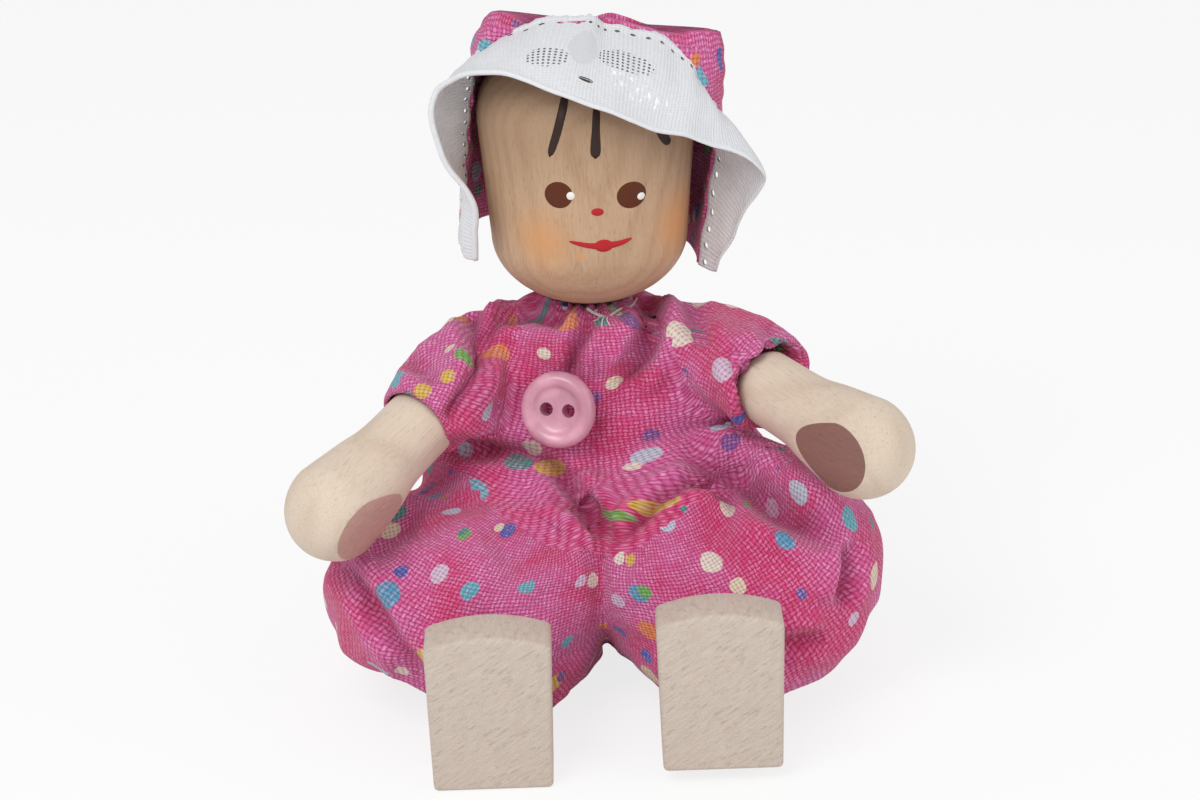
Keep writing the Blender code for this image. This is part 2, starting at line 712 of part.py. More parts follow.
def make_sleeve(side, cloth, shoulder):
    """Short puffed sleeve from the bodice's side to a hem round the arm."""
    axis = arm_axis(side)
    point = shoulder_point(side)
    centre = point + axis * (STRING_SHOWN + SLEEVE_OVER_ARM)
    frame = along(axis).to_3x3()
    steps = 6
    rings = []
    for step in range(steps + 1):
        share = step / steps
        bulge = math.sin(math.pi * share)
        ring = []
        for k in range(SLEEVE_SIDES):
            angle = 2 * math.pi * k / SLEEVE_SIDES
            c, s = math.cos(angle), math.sin(angle)
            y = point.y + SLEEVE_R * c
            z = point.z - SLEEVE_DROP + SLEEVE_R * s
            aside = bodice_side(y, z) + 2 * GAP
            start = Vector((SIDES[side] * aside, y, z + 2 * CLOTH * max(0.0, s)))
            out = frame @ Vector((SIDES[side] * c, s, 0.0))
            hem = centre + SLEEVE_HEM_R * out
            puff = Vector((0.0, 0.0, SLEEVE_PUFF * max(0.0, s) * bulge))
            ring.append(start.lerp(hem, share) + puff + out * FOLD_DEPTH * bulge * math.cos(3 * angle))
        rings.append(ring)
    thicken(add_object("sleeve_" + side, loft(rings), cloth, parent=shoulder))


def make_collar_thread(thread):
    """White thread that gathers the neck of the romper."""
    ring = []
    for k in range(CLOTH_SIDES):
        point = bodice_point(2 * math.pi * k / CLOTH_SIDES - math.pi, THREAD_R)
        out = Vector((point.x, point.y, 0.0)).normalized()
        ring.append(point + out * (GAP + THREAD_R))
    add_tube("collar_thread", ring, THREAD_R, thread)


def make_button(plastic):
    """Two-hole button with a raised rim, sewn a little slack on the bodice."""
    profile = [(radius * BUTTON_R, height * BUTTON_T) for radius, height in BUTTON_FORM]
    side, front, _ = bodice_half(BUTTON_DROP)
    aside = -math.asin(BUTTON_ASIDE / side)
    spot = bodice_point(aside, BUTTON_DROP)
    reach = BUTTON_R / front
    upright = bodice_point(aside, BUTTON_DROP - BUTTON_R) - bodice_point(aside, BUTTON_DROP + BUTTON_R)
    level = bodice_point(aside + reach, BUTTON_DROP) - bodice_point(aside - reach, BUTTON_DROP)
    out = level.cross(upright).normalized()
    face = Matrix.Rotation(-BUTTON_TURN, 3, "Z") @ out
    lift = GAP + BUTTON_FORM[1][0] * BUTTON_R * math.sin(BUTTON_TURN)
    place = Matrix.Translation(spot + out * lift) @ along(face)
    button = add_object("button", turned(profile, SMALL_SIDES), plastic, place)
    for number, sign in enumerate((-1.0, 1.0), 1):
        offset = Matrix.Translation((sign * BUTTON_HOLES_APART / 2, 0.0, 0.0))
        hole = rod(BUTTON_HOLE_R, -BUTTON_T, 2 * BUTTON_T, HOLE_SIDES)
        cut(button, cutter("button_hole_%d" % number, hole, place @ offset))


def hat_place():
    """Tilt of the hat on the head."""
    middle = Vector((0.0, 0.0, HEAD_Z + HEAD_H / 2))
    return Matrix.Translation(middle) @ Matrix.Rotation(HAT_TILT, 4, "Y") @ Matrix.Translation(-middle)


def crown_point(angle, row):
    """Point on the outside of the crown; angle 0 is the doll's left."""
    down, in_side, in_back = [size * PATTERN for size in row[:3]]
    c, s = math.cos(angle), math.sin(angle)
    x = (CROWN_R - in_side) * superpower(c, row[3])
    y = (CROWN_R - in_back) * superpower(s, row[3])
    ridge = max(0.0, 1 - down / (3 * CROWN_SAG))
    ears = EAR_RISE * c ** 4 - CROWN_SAG * math.sin(math.pi * c) ** 2
    return (x, y, CROWN_TOP - down + ridge * ears)


def crown_width(drop):
    """Half width of the crown's front edge at a drop below its top."""
    in_side, in_back, square = [between(CROWN_FORM, drop, column) for column in (1, 2, 3)]
    share = FACE_CUT / (CROWN_R - in_back * PATTERN)
    return (CROWN_R - in_side * PATTERN) * (1 - share ** square) ** (1 / square)


def make_crown(cloth, hat):
    """Bag crown with a cross seam on top and an ear at each end of it."""
    turn = 2 * math.pi / CLOTH_SIDES
    rings = [[crown_point(turn * k, row) for k in range(CLOTH_SIDES)] for row in reversed(CROWN_FORM)]
    crown = add_object("hat_crown", loft(rings, cap_end=True), cloth, hat_place(), hat)
    thicken(crown)
    reach = 3 * HEAD_R
    front = box((-reach, -reach, HEAD_Z - reach), (reach, -FACE_CUT, CROWN_TOP + reach))
    cut(crown, cutter("face_opening", front, hat_place()))


def make_brim(lace, hat):
    """Lace brim that flares from the crown's front edge."""
    seam = []
    for share, drop in BRIM_SEAM:
        x = share * (crown_width(drop) - CLOTH / 2)
        seam.append((x, -FACE_CUT - GAP, CROWN_TOP - drop * PATTERN))
    edge = [(x * PATTERN, -y * PATTERN, CROWN_TOP - drop * PATTERN) for x, y, drop in BRIM_EDGE]
    middle = Vector((0.0, 0.0, HEAD_Z + HEAD_H / 2))
    columns = 4
    bm = bmesh.new()
    rows = []
    for start, stop in zip(smooth_path(seam, 3), smooth_path(edge, 3)):
        out = (start + stop) / 2 - middle
        out.y = 0.0
        bow = out.normalized() * BRIM_BOW
        row = []
        for step in range(columns + 1):
            share = step / columns
            row.append(bm.verts.new(start.lerp(stop, share) + bow * math.sin(math.pi * share)))
        rows.append(row)
    for row, following in zip(rows, rows[1:]):
        for k in range(columns):
            bm.faces.new((row[k], row[k + 1], following[k + 1], following[k]))
    bm.normal_update()
    brim = add_object("hat_brim", bm, lace, hat_place(), hat)
    thicken(brim)
    brim.modifiers["cloth"].offset = 0.0


def main():
    """Build the doll piece by piece."""
    clear_scene()
    wood = finish("pale_wood", (0.78, 0.62, 0.44), 0.55)
    string = finish("string", (0.85, 0.82, 0.74), 0.9)
    cloth = finish("pink_cotton", (0.75, 0.12, 0.38), 0.9)
    lace = finish("white_lace", (0.9, 0.9, 0.92), 0.7)
    thread = finish("white_thread", (0.92, 0.92, 0.92), 0.8)
    plastic = finish("pink_plastic", (0.85, 0.5, 0.6), 0.3)
    make_torso(wood)
    make_shoulder_string(string)
    make_hip_string(string)
    make_bodice(cloth)
    make_seat(cloth)
    make_collar_thread(thread)
    make_button(plastic)
    neck = pivot("neck_pivot", (0.0, 0.0, TORSO_TOP))
    make_neck_string(string, neck)
    nod = pivot("nod_pivot", (0.0, 0.0, NOD_Z))
    make_head(wood, nod)
    hat = pivot("hat_pivot", (0.0, 0.0, HEAD_TOP))
    make_crown(cloth, hat)
    make_brim(lace, hat)
    for side in SIDES:
        shoulder = pivot("shoulder_pivot_" + side, shoulder_point(side))
        make_arm(side, wood, string, shoulder)
        make_sleeve(side, cloth, shoulder)
        hip = pivot("hip_pivot_" + side, hip_point(side))
        make_leg(side, wood, hip)
        make_foot(side, wood, hip)
        make_trouser(side, cloth, hip)
        make_cuff_thread(side, thread, hip)


main()
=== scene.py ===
"""Looks of the strung wooden doll: turned wood, painted face, cotton romper, bag hat with a lace brim."""
import json
import math

import bmesh
import bpy
import numpy as np
from bpy.props import FloatProperty, FloatVectorProperty, PointerProperty
from mathutils import Matrix, Vector, noise
from mathutils.bvhtree import BVHTree


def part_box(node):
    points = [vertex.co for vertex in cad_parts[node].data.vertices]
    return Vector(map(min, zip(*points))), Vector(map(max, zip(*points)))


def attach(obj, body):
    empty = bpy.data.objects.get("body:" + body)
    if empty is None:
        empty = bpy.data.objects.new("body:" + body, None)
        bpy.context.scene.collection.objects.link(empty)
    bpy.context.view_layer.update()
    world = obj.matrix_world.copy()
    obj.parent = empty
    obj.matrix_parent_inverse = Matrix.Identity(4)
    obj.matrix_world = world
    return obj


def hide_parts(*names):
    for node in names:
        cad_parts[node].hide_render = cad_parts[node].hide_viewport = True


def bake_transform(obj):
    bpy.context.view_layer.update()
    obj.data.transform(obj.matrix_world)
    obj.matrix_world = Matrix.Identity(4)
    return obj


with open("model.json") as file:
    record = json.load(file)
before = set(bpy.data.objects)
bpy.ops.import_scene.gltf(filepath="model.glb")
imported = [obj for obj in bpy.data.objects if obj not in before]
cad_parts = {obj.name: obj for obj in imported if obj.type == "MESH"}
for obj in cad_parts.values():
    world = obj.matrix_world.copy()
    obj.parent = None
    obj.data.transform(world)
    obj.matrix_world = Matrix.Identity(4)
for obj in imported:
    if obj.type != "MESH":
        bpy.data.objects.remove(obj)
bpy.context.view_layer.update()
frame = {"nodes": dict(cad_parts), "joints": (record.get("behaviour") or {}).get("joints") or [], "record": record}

bl_info = {
    "name": "Strung wooden doll",
    "version": (1, 0, 0),
    "blender": (4, 5, 0),
    "location": "3D View > Sidebar > Doll",
    "description": "Dresses the doll's solids in turned wood, paint, printed cotton and lace",
    "category": "Object",
}

MM = 0.001
SIDES = {"left": 1.0, "right": -1.0}
JOINTS = {joint["name"]: joint for joint in frame["joints"]}
HEAD_LOW, HEAD_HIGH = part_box("head")
HEAD_FOOT = 33.35 * MM
TORSO_LOW, TORSO_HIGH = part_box("torso")


# Properties


def length(name, description, default):
    """Property that holds a size."""
    return FloatProperty(name=name, description=description, default=default, precision=5, unit="LENGTH")


def angle(name, description, default):
    """Property that holds an angle."""
    return FloatProperty(name=name, description=description, default=math.radians(default), subtype="ANGLE")


def share(name, description, default):
    """Property that holds a share or a strength."""
    return FloatProperty(name=name, description=description, default=default, subtype="FACTOR")


def colour(name, description, default):
    """Property that holds a colour."""
    return FloatVectorProperty(
        name=name, description=description, default=default, size=3, min=0.0, max=1.0, subtype="COLOR"
    )


class DollWood(bpy.types.PropertyGroup):
    """Turned and sawn wood"""

    pale: colour("Pale wood", "Wood between the growth rings", (0.60, 0.41, 0.265))
    ring: colour("Ring wood", "Wood of a growth ring", (0.42, 0.255, 0.150))
    limb: colour("Limb wood", "Paler wood of the arms", (0.76, 0.64, 0.52))
    limb_ring: colour("Limb ring wood", "Growth rings of the arms", (0.60, 0.46, 0.35))
    block: colour("Foot wood", "Sawn wood of the feet", (0.66, 0.57, 0.50))
    block_ring: colour("Foot ring wood", "Darker grain of the feet", (0.52, 0.42, 0.35))
    palm_right: colour("Right palm", "Sawn palm of the right hand", (0.62, 0.37, 0.31))
    palm_left: colour("Left palm", "Sawn palm of the left hand", (0.30, 0.145, 0.12))
    blush: colour("Blush", "Warm wash on the cheeks", (0.72, 0.34, 0.13))
    jaw_radius: length("Jaw radius", "Head's radius where the chin starts to round", 9.0 * MM)
    chin_height: length("Chin height", "Height of the head's rounded chin", 6.5 * MM)
    widest: length("Widest height", "Height above the chin where the head is widest", 17.6 * MM)
    dome_fullness: share("Dome fullness", "How square the top of the head is", 1.2)
    mouth: length("String mouth", "Radius of the string's mouth under the chin", 2.16 * MM)
    well: length("Knot well", "Radius of the well that takes the knot", 2.05 * MM)
    throat: length("Throat", "Radius of the hole under the knot", 1.3 * MM)
    string_shown: length("Arm start", "Length of string between shoulder and arm", 9.2 * MM)
    arm_length: length("Arm length", "Length of a turned arm", 19.0 * MM)
    arm_radius: length("Arm radius", "Radius of the arm's straight end", 3.3 * MM)
    wrist_radius: length("Wrist radius", "Radius of the arm before the hand", 3.4 * MM)
    hand_radius: length("Hand radius", "Radius of the bulb hand", 4.6 * MM)
    hand_from_tip: length("Hand height", "From the fullest part of the hand to its tip", 4.9 * MM)
    palm_depth: length("Palm depth", "Depth that is sawn off the hand", 1.2 * MM)
    palm_lean: angle("Palm lean", "Turn of the palm towards the hand's tip", 8.0)
    bore: length("Bore", "Depth of the string's bore in the arm", 7.0 * MM)
    bore_radius: length("Bore radius", "Radius of the string's bore", 0.95 * MM)
    foot_length: length("Foot length", "From heel to toe", 14.6 * MM)
    foot_thickness: length("Foot thickness", "Thickness of a foot block", 5.3 * MM)
    toe_width: length("Toe width", "Width of a foot at the toe", 11.0 * MM)
    heel_width: length("Heel width", "Width of a foot at the heel", 10.4 * MM)
    toe_rise: length("Toe rise", "Rise of the arched toe edge", 1.05 * MM)
    foot_edge: length("Foot edge", "Softened edge of a foot", 0.45 * MM)


class DollFace(bpy.types.PropertyGroup):
    """Painted face"""

    eye: colour("Eye", "Brown of the eyes", (0.100, 0.022, 0.006))
    spark: colour("Spark", "White dot in an eye", (0.86, 0.85, 0.82))
    red: colour("Red", "Nose and mouth", (0.46, 0.016, 0.022))
    hair: colour("Hair", "Dark strokes on the forehead", (0.034, 0.017, 0.012))
    thickness: length("Paint", "Thickness of the paint", 0.07 * MM)
    eye_width: length("Eye width", "Half width of an eye", 1.24 * MM)
    eye_height: length("Eye height", "Half height of an eye", 1.26 * MM)


class DollCotton(bpy.types.PropertyGroup):
    """Printed cotton"""

    pink: colour("Pink", "Threads of the paler cloth", (0.60, 0.088, 0.285))
    deep: colour("Deep pink", "Threads of the redder cloth", (0.60, 0.035, 0.150))
    light: colour("Light pink", "Thread crests that catch the light", (0.86, 0.38, 0.63))
    pitch: length("Thread pitch", "Distance from thread to thread", 0.43 * MM)
    dot_spacing: length("Dot spacing", "Distance from dot to dot", 5.5 * MM)
    dot_radius: length("Dot radius", "Radius of a printed dot", 1.1 * MM)
    thickness: length("Cloth", "Thickness of the cloth", 0.32 * MM)
    grid: length("Cloth grid", "Mesh size of the simulated cloth", 0.85 * MM)
    slack: share("Slack", "How much larger than its form the cloth is", 0.03)
    puff: share("Puff", "Push of the air inside the cloth", 3.5)
    sag: share("Sag", "How much of the cloth's weight pulls", 0.04)
    bend: share("Bend", "How hard the cloth resists folding", 12.0)


class DollHat(bpy.types.PropertyGroup):
    """Bag hat with a lace brim"""

    lace: colour("Lace", "Satin of the brim", (0.80, 0.81, 0.84))
    thread: colour("Thread", "White sewing thread", (0.82, 0.81, 0.79))
    tilt: angle("Tilt", "Lean of the hat", 7.5)
    crown_rise: length("Crown rise", "Crown's top above the head's", 1.95 * MM)
    crown_radius: length("Crown radius", "Radius of the crown outside", 11.45 * MM)
    face_cut: length("Face cut", "Crown's front edge before the head's axis", 1.6 * MM)
    ridge_depth: length("Ridge depth", "How far down the crown its ridge line is felt", 2.8 * MM)
    cloth: length("Crown cloth", "Thickness of the crown's cloth", 0.42 * MM)
    brim: length("Lace thickness", "Thickness of the lace", 0.22 * MM)
    bow: length("Bow", "Outward bow of the brim", 0.5 * MM)
    roll: length("Rolled edge", "Radius of the brim's rolled edge", 0.30 * MM)


class DollButton(bpy.types.PropertyGroup):
    """Two-hole button"""

    milk: colour("Milky pink", "Plastic of the button", (0.57, 0.27, 0.355))
    radius: length("Radius", "Radius of the button", 3.5 * MM)
    thickness: length("Thickness", "Thickness of the button", 1.9 * MM)
    hole: length("Hole", "Radius of a thread hole", 0.62 * MM)
    apart: length("Holes apart", "Distance between the holes", 2.1 * MM)


class DollStage(bpy.types.PropertyGroup):
    """Floor, light and camera"""

    paper: colour("Paper", "Floor and backdrop", (0.93, 0.93, 0.93))
    white: share("White", "How far the floor is lifted to white for the camera", 0.8)
    sky: share("Sky", "Strength of the light from all round", 0.58)
    key: FloatProperty(name="Key", description="Main lamp's power", default=0.80, unit="POWER", precision=3)
    fill: FloatProperty(name="Fill", description="Side lamp's power", default=0.25, unit="POWER", precision=3)
    elevation: angle("Elevation", "Camera's height above the horizon", 22.0)
    roll: angle("Roll", "Camera's turn about its own axis", -2.0)
    distance: length("Distance", "Camera to the middle of the doll", 311.0 * MM)
    aim: length("Aim height", "Height that the camera looks at", 22.9 * MM)
    aside: length("Aim aside", "Doll's axis to the picture's middle", 0.4 * MM)
    lens: FloatProperty(name="Lens", description="Focal length", default=99.8, unit="CAMERA")


# Finishes


class Value:
    """A shader socket that takes part in Python expressions."""

    def __init__(self, look, socket):
        self.look = look
        self.socket = socket

    def math(self, operation, *others):
        """Result of a Math node on this value and the others."""
        return self.look.node("ShaderNodeMath", {"operation": operation}, dict(enumerate((self, *others))))

    def rise(self, low, high):
        """Smooth climb from 0 to 1 between two numbers or values."""
        ends = {"Value": self, "From Min": low, "From Max": high}
        return self.look.node("ShaderNodeMapRange", {"interpolation_type": "SMOOTHSTEP"}, ends)

    def __add__(self, other):
        return self.math("ADD", other)

    def __sub__(self, other):
        return self.math("SUBTRACT", other)

    def __rsub__(self, other):
        return self.look.node("ShaderNodeMath", {"operation": "SUBTRACT"}, {0: other, 1: self})

    def __mul__(self, other):
        return self.math("MULTIPLY", other)

    def __truediv__(self, other):
        return self.math("DIVIDE", other)

    __radd__ = __add__
    __rmul__ = __mul__


class Look:
    """A material in the making."""

    def __init__(self, name, settings=None):
        self.material = bpy.data.materials.new(name)
        self.material.use_nodes = True
        self.tree = self.material.node_tree
        self.shader = self.tree.nodes["Principled BSDF"]
        for socket, value in (settings or {}).items():
            self.shader.inputs[socket].default_value = value

    def node(self, kind, settings=None, sockets=None, output=0):
        """Add a node, set it up and return one of its outputs."""
        made = self.tree.nodes.new(kind)
        for key, value in (settings or {}).items():
            if key == "stops":
                self.stops(made.color_ramp, value)
            else:
                setattr(made, key, value)
        for key, value in (sockets or {}).items():
            self.feed(made.inputs[key], value)
        return Value(self, made.outputs[output])

    def feed(self, socket, value):
        """Set a socket to a number or colour, or link a value to it."""
        if isinstance(value, Value):
            self.tree.links.new(value.socket, socket)
        else:
            socket.default_value = value

    def stops(self, ramp, stops):
        """Set a colour ramp's stops, each a place and a colour."""
        ramp.interpolation = "CONSTANT"
        while len(ramp.elements) < len(stops):
            ramp.elements.new(1.0)
        for element, (place, tint) in zip(ramp.elements, stops):
            element.position = place
            element.color = (*tint, 1.0)

    def coordinates(self, place=None):
        """The piece's own coordinates in millimetres, seen from a place."""
        spot = self.node("ShaderNodeTexCoord", output="Object")
        place = place or Matrix.Identity(4)
        sockets = {
            "Vector": spot,
            "Location": place.to_translation(),
            "Rotation": place.to_euler(),
            "Scale": (MM, MM, MM),
        }
        return self.node("ShaderNodeMapping", {"vector_type": "TEXTURE"}, sockets)

    def vector(self, operation, first, second, output=0):
        """Result of a Vector Math node."""
        return self.node("ShaderNodeVectorMath", {"operation": operation}, {0: first, 1: second}, output)

    def parts(self, vector):
        """The three parts of a vector."""
        first = self.node("ShaderNodeSeparateXYZ", {}, {0: vector})
        return [Value(self, socket) for socket in first.socket.node.outputs]

    def nudged(self, vector, push, reach):
        """A vector moved in its plane by a push."""
        sockets = {0: push, 1: (reach, reach, 0.0), 2: vector}
        return self.node("ShaderNodeVectorMath", {"operation": "MULTIPLY_ADD"}, sockets)

    def noise(self, vector, scale, detail=2.0):
        """Soft noise from 0 to 1."""
        sockets = {"Vector": vector, "Scale": scale, "Detail": detail}
        return self.node("ShaderNodeTexNoise", {}, sockets, "Fac")

    def mix(self, factor, first, second):
        """Blend of two colours."""
        pair = [tint if isinstance(tint, Value) else (*tint, 1.0) for tint in (first, second)]
        return self.node("ShaderNodeMix", {"data_type": "RGBA"}, {0: factor, 6: pair[0], 7: pair[1]}, 2)

    def finish(self, tint, roughness=None, height=None, depth=0.0, alpha=None):
        """Feed the shader its colour, roughness and relief of a depth, and return the material."""
        self.feed(self.shader.inputs["Base Color"], tint)
        if roughness is not None:
            self.feed(self.shader.inputs["Roughness"], roughness)
        if height is not None:
            relief = self.node("ShaderNodeBump", {}, {"Height": height, "Distance": depth, "Strength": 1.0})
            self.feed(self.shader.inputs["Normal"], relief)
        if alpha is not None:
            self.feed(self.shader.inputs["Alpha"], alpha)
        return self.material


def wood_look(name, pale, ring, place, heart=(1.0, 34.0), pitch=1.15, blushes=(), brim_shade=0.0):
    """Fine sanded wood whose grain runs along the place's Z, with growth rings round a heart beside it, and painted
    shade of the brim that darkens it towards the top.
    """
    look = Look(name, {"Specular IOR Level": 0.32})
    spot = look.coordinates(place)
    wander = look.noise(look.vector("MULTIPLY", spot, (0.16, 0.16, 0.05)), 1.0, 2.0)
    drawn = look.vector("MULTIPLY", spot, (1.0, 1.0, 0.16))
    reach = look.vector("DISTANCE", drawn, (*heart, 0.0), "Value")
    rings = ((reach + wander * 3.2) * (2 * math.pi / pitch)).math("SINE") * 0.5 + 0.5
    fibre = look.noise(look.vector("MULTIPLY", spot, (7.0, 7.0, 0.35)), 1.0, 4.0)
    fleck = look.noise(look.vector("MULTIPLY", spot, (6.0, 6.0, 0.9)), 1.0, 1.0).rise(0.64, 0.70)
    cloud = look.noise(spot, 0.22, 3.0)
    shade = (rings * rings * 0.20 + fibre * 0.75 + cloud * 0.35 - 0.22).rise(0.0, 1.0)
    tint = look.mix(shade, pale, ring)
    tint = look.mix(fleck * 0.24, tint, [0.6 * part for part in ring])
    height = look.parts(spot)[2]
    # Painted shade of the brim: the wood darkens towards the top of the head.
    tint = look.mix(height.rise(0.5, 9.0) * brim_shade, tint, [0.5 * part for part in ring])
    wash = tuple(bpy.context.scene.doll_wood.blush)
    for centre, radius, strength in blushes:
        near = look.vector("DISTANCE", look.coordinates(), tuple(part / MM for part in centre), "Value")
        patch = (1.0 - (near / (radius / MM)).rise(0.0, 1.0)) * strength
        tint = look.mix(patch * (0.35 + 1.1 * cloud), tint, wash)
    rough = 0.46 + fibre * 0.22
    return look.finish(tint, rough, fibre * 0.6 - fleck * 0.4, 0.03 * MM)


def sawn_look(name, pale, dark, place):
    """Sawn face of a block: fine grit and slanting saw marks."""
    look = Look(name, {"Specular IOR Level": 0.3})
    spot = look.coordinates(place)
    marks = look.noise(look.vector("MULTIPLY", spot, (0.7, 4.5, 0.7)), 1.0, 4.0)
    grit = look.noise(spot, 8.0, 4.0)
    fleck = look.noise(look.vector("MULTIPLY", spot, (1.1, 3.6, 1.1)), 1.0, 3.0).rise(0.58, 0.70)
    tint = look.mix((marks * 0.8 + grit * 0.9 - 0.45).rise(0.0, 0.85), pale, dark)
    tint = look.mix(fleck * 0.28, tint, [0.62 * part for part in dark])
    return look.finish(tint, 0.62 + grit * 0.2, marks * 0.5 + grit * 0.7 - fleck * 0.5, 0.05 * MM)


def paint_look(name, tint, streak=0.10):
    """Brushed craft paint with a little variation."""
    look = Look(name, {"Specular IOR Level": 0.22, "Coat Weight": 0.04, "Coat Roughness": 0.25})
    spot = look.coordinates()
    brushed = look.noise(look.vector("MULTIPLY", spot, (4.0, 4.0, 1.0)), 1.0, 3.0)
    shade = look.mix(brushed * streak, tint, [min(1.0, 2.4 * part + 0.01) for part in tint])
    return look.finish(shade, 0.34 + brushed * 0.2, brushed, 0.02 * MM)


DOT_TINTS = (
    (0.78, 0.68, 0.48), (0.70, 0.45, 0.05), (0.74, 0.20, 0.04), (0.05, 0.30, 0.50),
    (0.48, 0.58, 0.70), (0.03, 0.09, 0.43), (0.08, 0.42, 0.52), (0.20, 0.06, 0.30),
    (0.12, 0.38, 0.06), (0.02, 0.25, 0.24), (0.66, 0.50, 0.66), (0.80, 0.72, 0.60),
)


def cotton_look(name, dot_scale=1.0):
    """Plain weave in two pinks with a print of loose dots, on the cloth's own pattern coordinates, with painted
    highlights on the thread crests and painted shade between the threads and in the folds.
    """
    cotton = bpy.context.scene.doll_cotton
    look = Look(name, {"Specular IOR Level": 0.2, "Sheen Weight": 0.2, "Sheen Roughness": 0.5})
    spot = look.node("ShaderNodeUVMap", {"uv_map": "pattern"})
    uneven = look.node("ShaderNodeTexNoise", {}, {"Vector": spot, "Scale": 0.55, "Detail": 2.0}, "Color")
    lean = look.vector("SUBTRACT", uneven, (0.5, 0.5, 0.5))
    pitch = cotton.pitch / MM
    threads = look.vector("DIVIDE", look.nudged(spot, lean, 0.5), (pitch, 0.82 * pitch, 1.0))
    across, along_it, _ = look.parts(threads)
    wave_u, wave_v = (across * math.pi).math("SINE"), (along_it * math.pi).math("SINE")
    warp, weft = wave_u.math("ABSOLUTE"), wave_v.math("ABSOLUTE")
    over = (wave_u * wave_v).rise(-0.3, 0.3)
    speck = look.node(
        "ShaderNodeTexWhiteNoise", {"noise_dimensions": "2D"}, {"Vector": look.vector("FLOOR", threads, (0, 0, 0))}, "Value"
    )
    slub = look.noise(look.vector("MULTIPLY", threads, (0.2, 0.9, 1.0)), 1.0, 1.0)
    patchy = look.noise(spot, 0.13, 2.0).rise(0.40, 0.62)
    pink, deep, light = tuple(cotton.pink), tuple(cotton.deep), tuple(cotton.light)
    ground = look.mix(patchy, pink, deep)
    crest = over * warp + (1.0 - over) * weft
    # Painted highlights on the thread crests, mixed towards the light pink.
    glint = crest.math("POWER", 3.0) * (slub * 0.55 + speck * 0.75 - 0.1)
    tint = look.mix(glint * (0.95 - 0.35 * patchy), ground, light)
    print_spot = look.nudged(spot, lean, 0.55)
    for spacing, radius, start in ((1.0, 1.0, 0.0), (1.45, 0.66, 31.7)):
        gap = cotton.dot_spacing / MM * spacing * dot_scale
        moved = look.vector("ADD", print_spot, (start, start / 2, 0.0))
        sockets = {"Vector": moved, "Scale": 1 / gap, "Randomness": 0.86}
        dots = look.node("ShaderNodeTexVoronoi", {"voronoi_dimensions": "2D"}, sockets, "Distance")
        chance = look.node("ShaderNodeSeparateColor", {}, {0: Value(look, dots.socket.node.outputs["Color"])})
        other = Value(look, chance.socket.node.outputs[1])
        size = (other * 0.5 + 0.62) * (cotton.dot_radius / MM * radius * dot_scale / gap) * other.rise(0.10, 0.12)
        mask = 1.0 - (dots / (size + 0.0001)).rise(0.86, 1.02)
        stops = [(k / len(DOT_TINTS), ink) for k, ink in enumerate(DOT_TINTS)]
        inks = look.node("ShaderNodeValToRGB", {"stops": stops}, {"Fac": chance}, "Color")
        # The dot inks are lightened where the threads glint: painted highlight.
        inks_with_painted_glint = look.mix(glint * 0.35, inks, (0.85, 0.80, 0.80))
        tint = look.mix(mask * (1.0 - 0.16 * speck), tint, inks_with_painted_glint)
    fold = look.node("ShaderNodeAttribute", {"attribute_name": "fold"}, {}, "Fac")
    # Painted shade in the fold valleys: the cloth darkens towards deep red.
    tint = look.mix(fold * 0.62, tint, [0.36 * part for part in deep])
    # Painted shade in the gaps between the threads.
    hole = ((1.0 - warp) * (1.0 - weft)).rise(0.08, 0.55)
    tint = look.mix(hole * 0.45, tint, [0.30 * part for part in deep])
    return look.finish(tint, 0.78 + speck * 0.12, crest * (0.75 + 0.25 * speck), 0.10 * MM)


# Lace pattern, in millimetres along the free edge and out from the seam: middle and half sizes; GLINTS is where painted
# highlights go
NET_PATCHES = ((29.0, 6.8, 1.8, 1.4), (36.0, 5.3, 2.6, 1.4))
SATIN_OVAL = (31.9, 4.7, 1.5, 2.6)
SLIT = (32.6, 9.1, 0.75, 0.28)
GLINTS = (37.3, 7.95, 3.6, 1.5)



